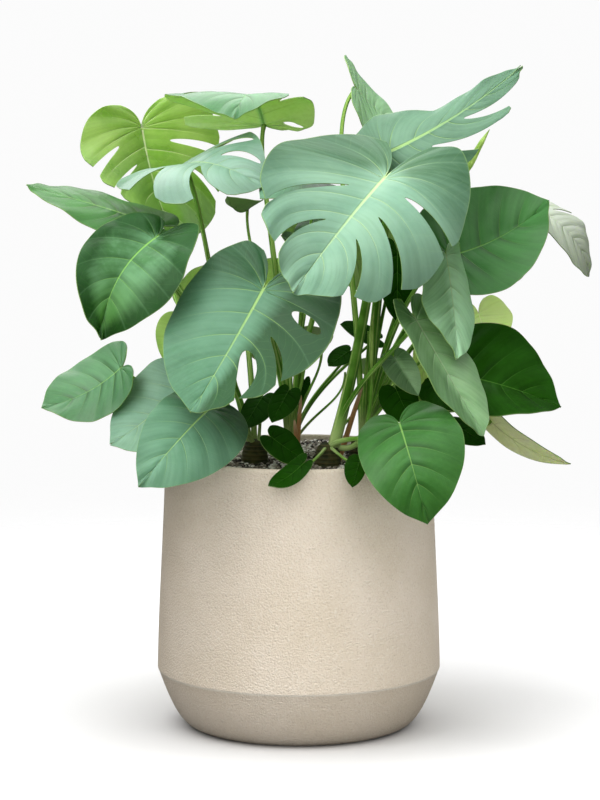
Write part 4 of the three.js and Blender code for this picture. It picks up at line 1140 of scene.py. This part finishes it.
def half_blade(leaf, side, places, phase):
    """The grids of one half of a blade, one between each pair of its cuts."""
    plan = GRIDS[leaf["grid"]]
    scale = math.dist(leaf["base"], leaf["tip"]) / PLAIN_LENGTH
    cuts = [cut for cut in leaf.get("cuts", ()) if cut["side"] == side]
    cuts = sorted(cuts, key=lambda cut: cut["at"][0])
    rows = blade_rows(plan, cuts)
    borders = [None, *cuts, None]
    grids = []
    count = 0.5
    for before, after in zip(borders, borders[1:]):
        low = before["at"][0] if before else 0.0
        high = after["at"][0] if after else 1.0
        column = places[(places >= low) & (places <= high)]
        share = ((column - low) / (high - low))[:, None]
        start = cut_edge(before, rows, 1) if before else np.zeros_like(rows)
        end = cut_edge(after, rows, -1) if after else np.ones_like(rows)
        place = mix(start, end, share)
        corner = np.maximum(corner_share(before, column - low), corner_share(after, high - column))
        outer = np.maximum(0, rows - CORNER_FROM) / (1 - CORNER_FROM)
        row = rows * (1 - CORNER_ROUND * corner[:, None] * outer)
        veins = max(1, round((high - low) * plan["veins"]))
        first = cut_drift(before, rows) if before else np.zeros_like(rows)
        last = cut_drift(after, rows) if after else np.ones_like(rows)
        vein = count + veins * (place - first) / (last - first)
        count += veins
        across, along = vein_point(place, row, leaf.get("lobe", 1))
        between = np.abs(np.sin(math.pi * vein)) ** PLEAT_CREST
        swell = np.sin(math.pi * SWELL_REACH * row**SWELL_START) ** SWELL_FLANK
        puff = plan["puff"] * leaf.get("pleat", 1) * scale * between * swell
        sway = np.sin(vein * LONG_WAVE + phase + side)
        sway = sway + 0.5 * np.sin(vein * SHORT_WAVE + 2 * phase)
        puff = puff + plan["wave"] * scale * sway * row**3
        points, width = blade_point(leaf, side, across, along, puff)
        gap = np.linalg.norm(np.gradient(points, axis=0), axis=-1)
        step = np.gradient(vein, axis=0)
        inside = np.clip(along, 0, 1)
        vein_width = scale * mix(*VEIN_WIDTH, row)
        rib_width = scale**RIB_GROWTH * mix(*RIB_WIDTH, inside)
        course = np.stack([np.broadcast_to(vein, row.shape), row], -1)
        breadth = np.stack([gap / step / vein_width, side * across * width / rib_width], -1)
        off_rib = across * np.mean(leaf["width"]) / (RIB_SPREAD * rib_width)
        rib = np.exp(-(off_rib**2)) * (1 - inside**RIB_END)
        if side > 0:
            points, course, breadth, rib = points[::-1], course[::-1], breadth[::-1], rib[::-1]
        piece = shaped_grid(points, course, breadth)
        group = piece.vertex_groups.new(name="rib")
        weights = rib.transpose(1, 0).ravel()
        group.add(list(range(len(weights))), 0.0, "REPLACE")
        for index in np.flatnonzero(weights > LEAST_WEIGHT):
            group.add([int(index)], float(weights[index]), "REPLACE")
        grids.append(piece)
    return grids


# A look: the dark and the light tone of the upper side, the veins, the underside, gloss, roughness
# and glow, and then the shares of painted shade: at the lobes by the sinus, on the outer part, at
# the tip, in the furrows beside the veins, and on one half, the left one if positive and the right if
# negative. Some looks share their tones and differ only in how much shade is painted on them.
BLADE_LOOKS = {
    "veiled": ("#88bc86", "#9acb97", "#b4d090", "#a5b98e", 0.8, 0.4, 0.2, (0.2, 0.2, 0, 0.25, 0)),
    # Like veiled but lighter, with one half painted in shadow.
    "dappled": ("#8dc591", "#a2d4a2", "#b4d090", "#a5b98e", 0.8, 0.4, 0.2, (0.4, 0.2, 0, 0.25, -0.4)),
    "mint": ("#5f8671", "#70957f", "#a3c27a", "#9db385", 0.8, 0.42, 0.1, (0.3, 0.3, 0, 0.2, 0)),
    "waxy": ("#6d967d", "#80a58b", "#b4d28e", "#98ad80", 0.2, 0.46, 0.1, (0.8, 0.2, 0, 0.12, 0)),
    "glaucous": ("#527a5f", "#658d71", "#a0c774", "#98ad80", 0.4, 0.44, 0.1, (0.45, 0.1, 0, 0.2, 0)),
    "sea": ("#4f7c5d", "#648f73", "#a0c774", "#86a06c", 0.25, 0.42, 0.1, (0.85, 0.25, 0, 0.15, 0)),
    # Like sea, with one half painted in shadow.
    "bay": ("#4f7c5d", "#648f73", "#a0c774", "#86a06c", 0.25, 0.42, 0.1, (0.85, 0.25, 0, 0.15, 1.05)),
    "misty": ("#6d967d", "#80a58b", "#b4d28e", "#98ad80", 0.2, 0.46, 0.1, (0.2, 0.2, 0, 0.12, 0)),
    "forest": ("#3d6a3b", "#6a9670", "#7cb055", "#7a985e", 0.12, 0.36, 0.1, (1.3, 1.2, 0.95, 0.45, 0)),
    "deep": ("#2a6527", "#3b7536", "#679c44", "#7a985e", 0.35, 0.38, 0.1, (0.3, 0.25, 0, 0.6, 0)),
    "shade": ("#143902", "#204f0c", "#4c7f2f", "#5d7c42", 0.03, 0.38, 0.1, (0.2, 0.2, 0, 0.45, 0)),
    "meadow": ("#32642a", "#43793b", "#80ac5a", "#b0d589", 0.25, 0.4, 0.3, (0.3, 0.25, 0, 0.7, 0)),
    "sage": ("#3f7346", "#538859", "#86b464", "#b0d592", 0.5, 0.42, 0.3, (0.3, 0.3, 0, 0.6, 0)),
    "lime": ("#7aa842", "#a0c766", "#e2f2b8", "#a6c866", 0.8, 0.3, 0.35, (0.05, 0.15, 0.85, 0.2, 0)),
    "sprout": ("#b6ea7c", "#c6f092", "#dcecb0", "#c6e290", 0.4, 0.36, 0.7, (0, 0, 0, 0.1, 0)),
    # With one half painted in shadow.
    "ash": ("#7bab72", "#91bb86", "#a4bc90", "#a8b494", 0.5, 0.42, 0.2, (0.9, 0.3, 0, 0.2, -0.65)),
    "frost": ("#b6c5ab", "#c5d2bc", "#c8d5ba", "#b8c4a6", 0.6, 0.42, 0.2, (0.1, 0.1, 0, 0.3, 0)),
    "olive": ("#85985a", "#97aa6c", "#b4c08c", "#e8f6c4", 0.4, 0.5, 0.5, (0.2, 0.2, 0, 0.3, 0)),
}
EDGE_TONES = ("#5d8440", "#8fae62")
# Tones multiplied in as painted shade, over the blade and at its tip.
PAINTED_SHADE_TONE = "#6e8c68"
TIP_SHADE_TONE = "#8fb45c"
GLOW_DEPTH = 0.01
GLOW_RADIUS = (0.65, 1.0, 0.3)
UNDER_GLOSS = 0.25
UNDER_ROUGHER = 0.2
STREAK_SHARE = 0.18
VEIN_DEPTH = 0.0007
MIDRIB_FADE = (2.5, 8.5)
CREASE_FADE = (0.05, 0.6)
LOBE_FADE = (3.1, 5.6)
OUTER_FADE = (0.55, 1.15)
TIP_FADE = (5.0, 8.5)
MARGIN_FADE = (0.985, 0.998)
HALF_FADE = 18
BLOTCH_SCALE = 11.0
BLOTCH_REACH = dict(half=6, lobe=1.6, outer=0.5, tip=2.0)
VALLEY_SIDES = (-0.36, -0.04, 0, 0.03)
LATERAL_WIDTH = (0.45, 1.3)
MIDRIB_WIDTH = (0.5, 1.1)
HALO_WIDTH = (1, 5)
CHEVRON_ROWS = 8.0
CHEVRON_SLANT = 3.4
CHEVRON_SHAKE = 0.7
CHEVRON_LINE = 0.09
SHAKE_SCALE = 55.0
BLADE_STRETCH = (7.0, 1.0)
BLADE_CLOUD = 13.0
BLADE_SPECK = 160.0
HALO_SHARE = 0.08
FINE_SHARES = (0.03, 0.15)
LATERAL_SHARE = 0.32
MIDRIB_SHARE = 0.95
MARGIN_SHARE = 0.3
LATERAL_HEIGHT = 0.6
FINE_HEIGHT = 0.08
SPECK_HEIGHT = 0.15
CREASE_HEIGHT = 0.6

pattern = bpy.data.node_groups.new("leaf_veins", "ShaderNodeTree")
course, row = pattern_map(pattern, "Course")
breadth, off_rib = pattern_map(pattern, "Breadth")
blotch = noise(pattern, BLOTCH_SCALE, 3.0)
beside = off_whole(course)
aside = maths("ABSOLUTE", beside)
from_vein = times(aside, breadth)
from_rib = maths("ABSOLUTE", off_rib)
blotched = {
    part: plus(way, times(blotch, BLOTCH_REACH[part]))
    for part, way in dict(half=off_rib, lobe=course, outer=row, tip=course).items()
}
valley = times(ramp(beside, *VALLEY_SIDES[:2]), ramp(beside, *VALLEY_SIDES[2:], 1, 0))
lateral = ramp(from_vein, *LATERAL_WIDTH, 1, 0)
midrib = ramp(from_rib, *MIDRIB_WIDTH, 1, 0)
near_vein, near_rib = (ramp(way, *HALO_WIDTH, 1, 0) for way in (from_vein, from_rib))
crease = maths("ABSOLUTE", maths("SINE", times(course, 2 * math.pi)))
chevron = maths("SUBTRACT", times(row, CHEVRON_ROWS), times(aside, CHEVRON_SLANT))
chevron = plus(chevron, times(noise(pattern, SHAKE_SCALE), CHEVRON_SHAKE))
fine = ramp(maths("ABSOLUTE", off_whole(chevron)), 0, CHEVRON_LINE, 1, 0)
lobe = ramp(blotched["lobe"], *LOBE_FADE, 1, 0)
streak = noise(pattern, 1.0, 3.0, stretched(course, row, BLADE_STRETCH))
# Masks of painted shade on the upper side: Lobe by the sinus, Outer towards the margin, Tip towards
# the drip tip, Left and Right over one half, and Valley in the furrows beside the veins.
outcomes = {
    "Midrib": midrib,
    "Midrib tone": times(midrib, ramp(course, *MIDRIB_FADE, 1, 0.35)),
    "Lateral": times(lateral, ramp(row, 0.2, 0.9, 1, 0.08)),
    "Halo": maths("MAXIMUM", near_vein, near_rib),
    "Valley": times(valley, ramp(row, 0.15, 0.9, 1, 0)),
    "Streak": ramp(streak, 0.3, 0.7, -0.5, 0.5),
    "Fine": times(fine, ramp(row, 0.1, 0.3)),
    "Crease": times(crease, ramp(row, *CREASE_FADE, 1, 0)),
    "Margin": ramp(row, *MARGIN_FADE),
    "Lobe": times(lobe, ramp(row, 0.02, 0.4)),
    "Outer": ramp(blotched["outer"], *OUTER_FADE),
    "Tip": ramp(blotched["tip"], *TIP_FADE),
    "Left": ramp(blotched["half"], -HALF_FADE, 1, 1, 0),
    "Right": ramp(blotched["half"], 1, HALF_FADE),
}
for socket in outcomes:
    pattern.interface.new_socket(socket, in_out="OUTPUT", socket_type="NodeSocketFloat")
result = pattern.nodes.new("NodeGroupOutput")
for socket, value in outcomes.items():
    pattern.links.new(value, result.inputs[socket])


def blade_material(name, look, upper):
    """The upper side, with sunken pale veins, or the duller underside, with raised ones."""
    dark, light, vein, under, gloss, rough, glow, shade_shares = look
    if not upper:
        dark, light, gloss, rough = under, vein, UNDER_GLOSS, rough + UNDER_ROUGHER
    material, tree, shader = new_material(
        name,
        Specular_IOR_Level=gloss,
        Subsurface_Weight=glow,
        Subsurface_Scale=GLOW_DEPTH,
        Subsurface_Radius=GLOW_RADIUS,
    )
    veins = add_node(tree, "Group", node_tree=pattern).outputs
    cloud = noise(tree, BLADE_CLOUD, 3.0)
    speck = noise(tree, BLADE_SPECK, 3.0)
    tint = blend(ramp(cloud, 0.3, 0.7, 0, 1 if upper else 0.35), dark, light)
    tint = blend(ramp(speck, 0.4, 0.7, 0, 0.22), tint, light)
    # Painted shade on the upper side: darker by the lobes, on the outer part, at the tip, over one
    # half and in the furrows beside the veins, broken up by streaks of random tone.
    if upper:
        half = "Left" if shade_shares[-1] > 0 else "Right"
        lobe, outer, tip, furrow, dim = (
            times(veins[part], abs(share))
            for part, share in zip(("Lobe", "Outer", "Tip", "Valley", half), shade_shares)
        )
        shaded = maths("MAXIMUM", maths("MAXIMUM", lobe, outer), dim)
        shaded = plus(shaded, times(veins["Streak"], STREAK_SHARE))
        tint = blend(plus(shaded, furrow), tint, PAINTED_SHADE_TONE, "MULTIPLY")
        tint = blend(tip, tint, TIP_SHADE_TONE, "MULTIPLY")
    paint(
        shader,
        tint,
        (times(veins["Halo"], HALO_SHARE), light),
        (times(veins["Fine"], FINE_SHARES[0 if upper else 1]), vein),
        (times(veins["Lateral"], LATERAL_SHARE), vein),
        (times(veins["Midrib tone"], MIDRIB_SHARE), vein),
        (times(veins["Margin"], MARGIN_SHARE), EDGE_TONES[1]),
    )
    rough = ramp(cloud, 0.3, 0.7, rough - 0.04, rough + 0.06)
    tree.links.new(rough, shader.inputs["Roughness"])
    sunken = -1.0 if upper else 1.0
    height = maths("MAXIMUM", veins["Midrib"], times(veins["Lateral"], LATERAL_HEIGHT))
    height = times(plus(height, times(veins["Fine"], FINE_HEIGHT)), sunken)
    height = plus(height, times(speck, SPECK_HEIGHT))
    height = plus(height, times(veins["Crease"], -CREASE_HEIGHT * sunken))
    relief(shader, height, VEIN_DEPTH)
    return material


edge, tree, shader = new_material("blade_edge", Roughness=0.5)
paint(shader, blend(noise(tree, 60.0), *EDGE_TONES))
blade_finishes = {
    name: (
        blade_material("blade_" + name, look, True),
        blade_material("underside_" + name, look, False),
        edge,
    )
    for name, look in BLADE_LOOKS.items()
}

for number, leaf in enumerate(LEAVES):
    starts = [cut["at"][0] for cut in leaf.get("cuts", ())]
    even = np.linspace(0, 1, GRIDS[leaf["grid"]]["columns"])
    away = [place for place in even if all(abs(place - start) > LEAST_STEP for start in starts)]
    places = np.unique([*away, *starts])
    blade = joined(half_blade(leaf, -1, places, number) + half_blade(leaf, 1, places, number))
    weld(blade, BLADE_WELD)
    name = leaf["name"].replace("leaf_", "blade_")
    put(blade, name, [leaf["name"]], "blade_" + leaf["colour"], *blade_finishes[leaf["look"]])
    apply_modifier(
        blade,
        "SOLIDIFY",
        thickness=RIB_THICKNESS,
        offset=0,
        vertex_group="rib",
        thickness_vertex_group=BLADE_THICKNESS / RIB_THICKNESS,
        material_offset=1,
        material_offset_rim=2,
    )
    bpy.ops.object.shade_smooth_by_angle(angle=math.radians(BLADE_CREASE))

# New leaves: each still rolled up lengthwise around itself, upright at the end of its own stalk.
# The outer layer ends in a thin free edge along its front.
SPEAR_SIDES = 20
SPEAR_STEPS = 40
SPEAR_BOW = 1.5
SPEAR_SWELL = ([0, 0.12, 0.3, 0.7, 1], [0.5, 0.85, 1, 0.72, 0.08])
SPEAR_FRONT = (0.2, -1.0, 0)
SPEAR_CREASE = 60
WRAP_RADIUS = (0.86, 1.06)
LAST_WRAP = 0.999
ROLL_TONES = ("#86b045", "#a9cc66")
ROLL_LINE = "#c6dc8e"
ROLL_LINES = (50.0, 18.0)
ROLL_DEPTH = 0.0003

roll, tree, shader = new_material("rolled_leaf", Roughness=0.35)
around, along = pattern_map(tree, "Course")
lines = plus(times(around, ROLL_LINES[0]), times(along, ROLL_LINES[1]))
lines = maths("SINE", lines)
paint(
    shader,
    blend(ramp(noise(tree, 60.0), 0.35, 0.65), *ROLL_TONES),
    (ramp(lines, 0.6, 1.0, 0, 0.4), ROLL_LINE),
)
relief(shader, lines, ROLL_DEPTH)

for spear in SPEARS:
    base, tip = np.array(spear["base"], float), np.array(spear["tip"], float)
    share = np.linspace(0, 1, SPEAR_STEPS)[:, None]
    bow = unit(np.cross(tip - base, (0, 1, 0))) * SPEAR_BOW * np.sin(math.pi * share)
    line = base + (tip - base) * share + bow
    swell = spear["radius"] * np.interp(share[:, 0], *SPEAR_SWELL)
    wrap = np.linspace(0, 1, SPEAR_SIDES + 1)
    wrap[-1] = LAST_WRAP
    spiral = mix(*WRAP_RADIUS, wrap)[:, None] * np.ones_like(swell)
    rolled = tube(line, np.array(SPEAR_FRONT), swell, (spiral, spiral))
    weld(rolled)
    name = spear["name"].replace("new_leaf", "rolled_leaf")
    put(rolled, name, [spear["name"]], "blade_young", roll)
    bpy.ops.object.shade_smooth_by_angle(angle=math.radians(SPEAR_CREASE))

# Dried sheaths: papery orange-brown remains of old leaf bases, standing at the canes.
# Each is a thin strip, curled in along its length and a little wavy towards its pale tip.
DRIED = [
    dict(name="dried_sheath_left", foot=(2, -72, 364.3), tip=(-6, -84, 422), width=7),
    dict(name="dried_sheath_middle", foot=(-3, -53, 364.5), tip=(3, -64, 452), width=6),
    dict(name="dried_sheath_right", foot=(52, -62, 362.3), tip=(84, -72, 468), width=7),
]
DRIED_COLUMNS = 9
DRIED_ROWS = 30
DRIED_THICKNESS = 0.0007
DRIED_CURL = 1.25
DRIED_WAVE = 1.2
DRIED_WAVES = 9
DRIED_HOLLOW = 0.6
DRIED_FRONT = (0.1, -1.0, 0.2)
DRIED_CREASE = 50
FIBRE_TONES = ("#b87646", "#e0aa7a")
FIBRE_TIP = "#eed6b2"
FIBRE_STRETCH = (14.0, 3.0)
FIBRE_DEPTH = 0.0005

paper, tree, shader = new_material("dried_sheath", Roughness=0.8)
around, along = pattern_map(tree, "Course")
fibres = noise(tree, 1.6, 4.0, stretched(around, along, FIBRE_STRETCH))
paint(
    shader,
    blend(ramp(fibres, 0.35, 0.6), *FIBRE_TONES),
    (ramp(along, 0.6, 1.0, 0, 0.6), FIBRE_TIP),
)
relief(shader, fibres, FIBRE_DEPTH)

for sheath in DRIED:
    foot, tip = np.array(sheath["foot"], float), np.array(sheath["tip"], float)
    share = np.linspace(0, 1, DRIED_ROWS)
    line = unit(tip - foot)
    front = unit(across_line(np.array(DRIED_FRONT), line))
    side = np.cross(line, front)
    half = sheath["width"] / 2 * np.sqrt(np.clip(1 - share**3, 0.01, 1))
    curl = np.linspace(-DRIED_CURL, DRIED_CURL, DRIED_COLUMNS)[:, None]
    wobble = DRIED_WAVE * np.sin(share * DRIED_WAVES)
    points = (
        foot
        + (tip - foot) * share[None, :, None]
        + side * (half * np.sin(curl))[..., None]
        + front * (half * (np.cos(curl) - DRIED_HOLLOW) + wobble * share)[..., None]
    )
    course = np.stack(np.broadcast_arrays(curl, share[None]), -1)
    strip = shaped_grid(points, course, course)
    name = sheath["name"].replace("dried", "papery")
    put(strip, name, [sheath["name"]], "dried_sheaths", paper)
    apply_modifier(strip, "SOLIDIFY", thickness=DRIED_THICKNESS, offset=0)
    bpy.ops.object.shade_smooth_by_angle(angle=math.radians(DRIED_CREASE))

# Light groups: the planter, the floor and the plant each take their own lamps.
# Four young pieces, pale and thin, take the young leaves' lamp as well.
YOUNG_PIECES = (
    "blade_young_small", "blade_back_right_young", "rolled_leaf_right", "rolled_leaf_middle",
)

for piece in scene.objects:
    if piece.type == "MESH":
        kind = {pot: "planter", floor: "floor"}.get(piece, "plant")
        receivers[kind].objects.link(piece)
        if piece.name in YOUNG_PIECES:
            receivers["young"].objects.link(piece)
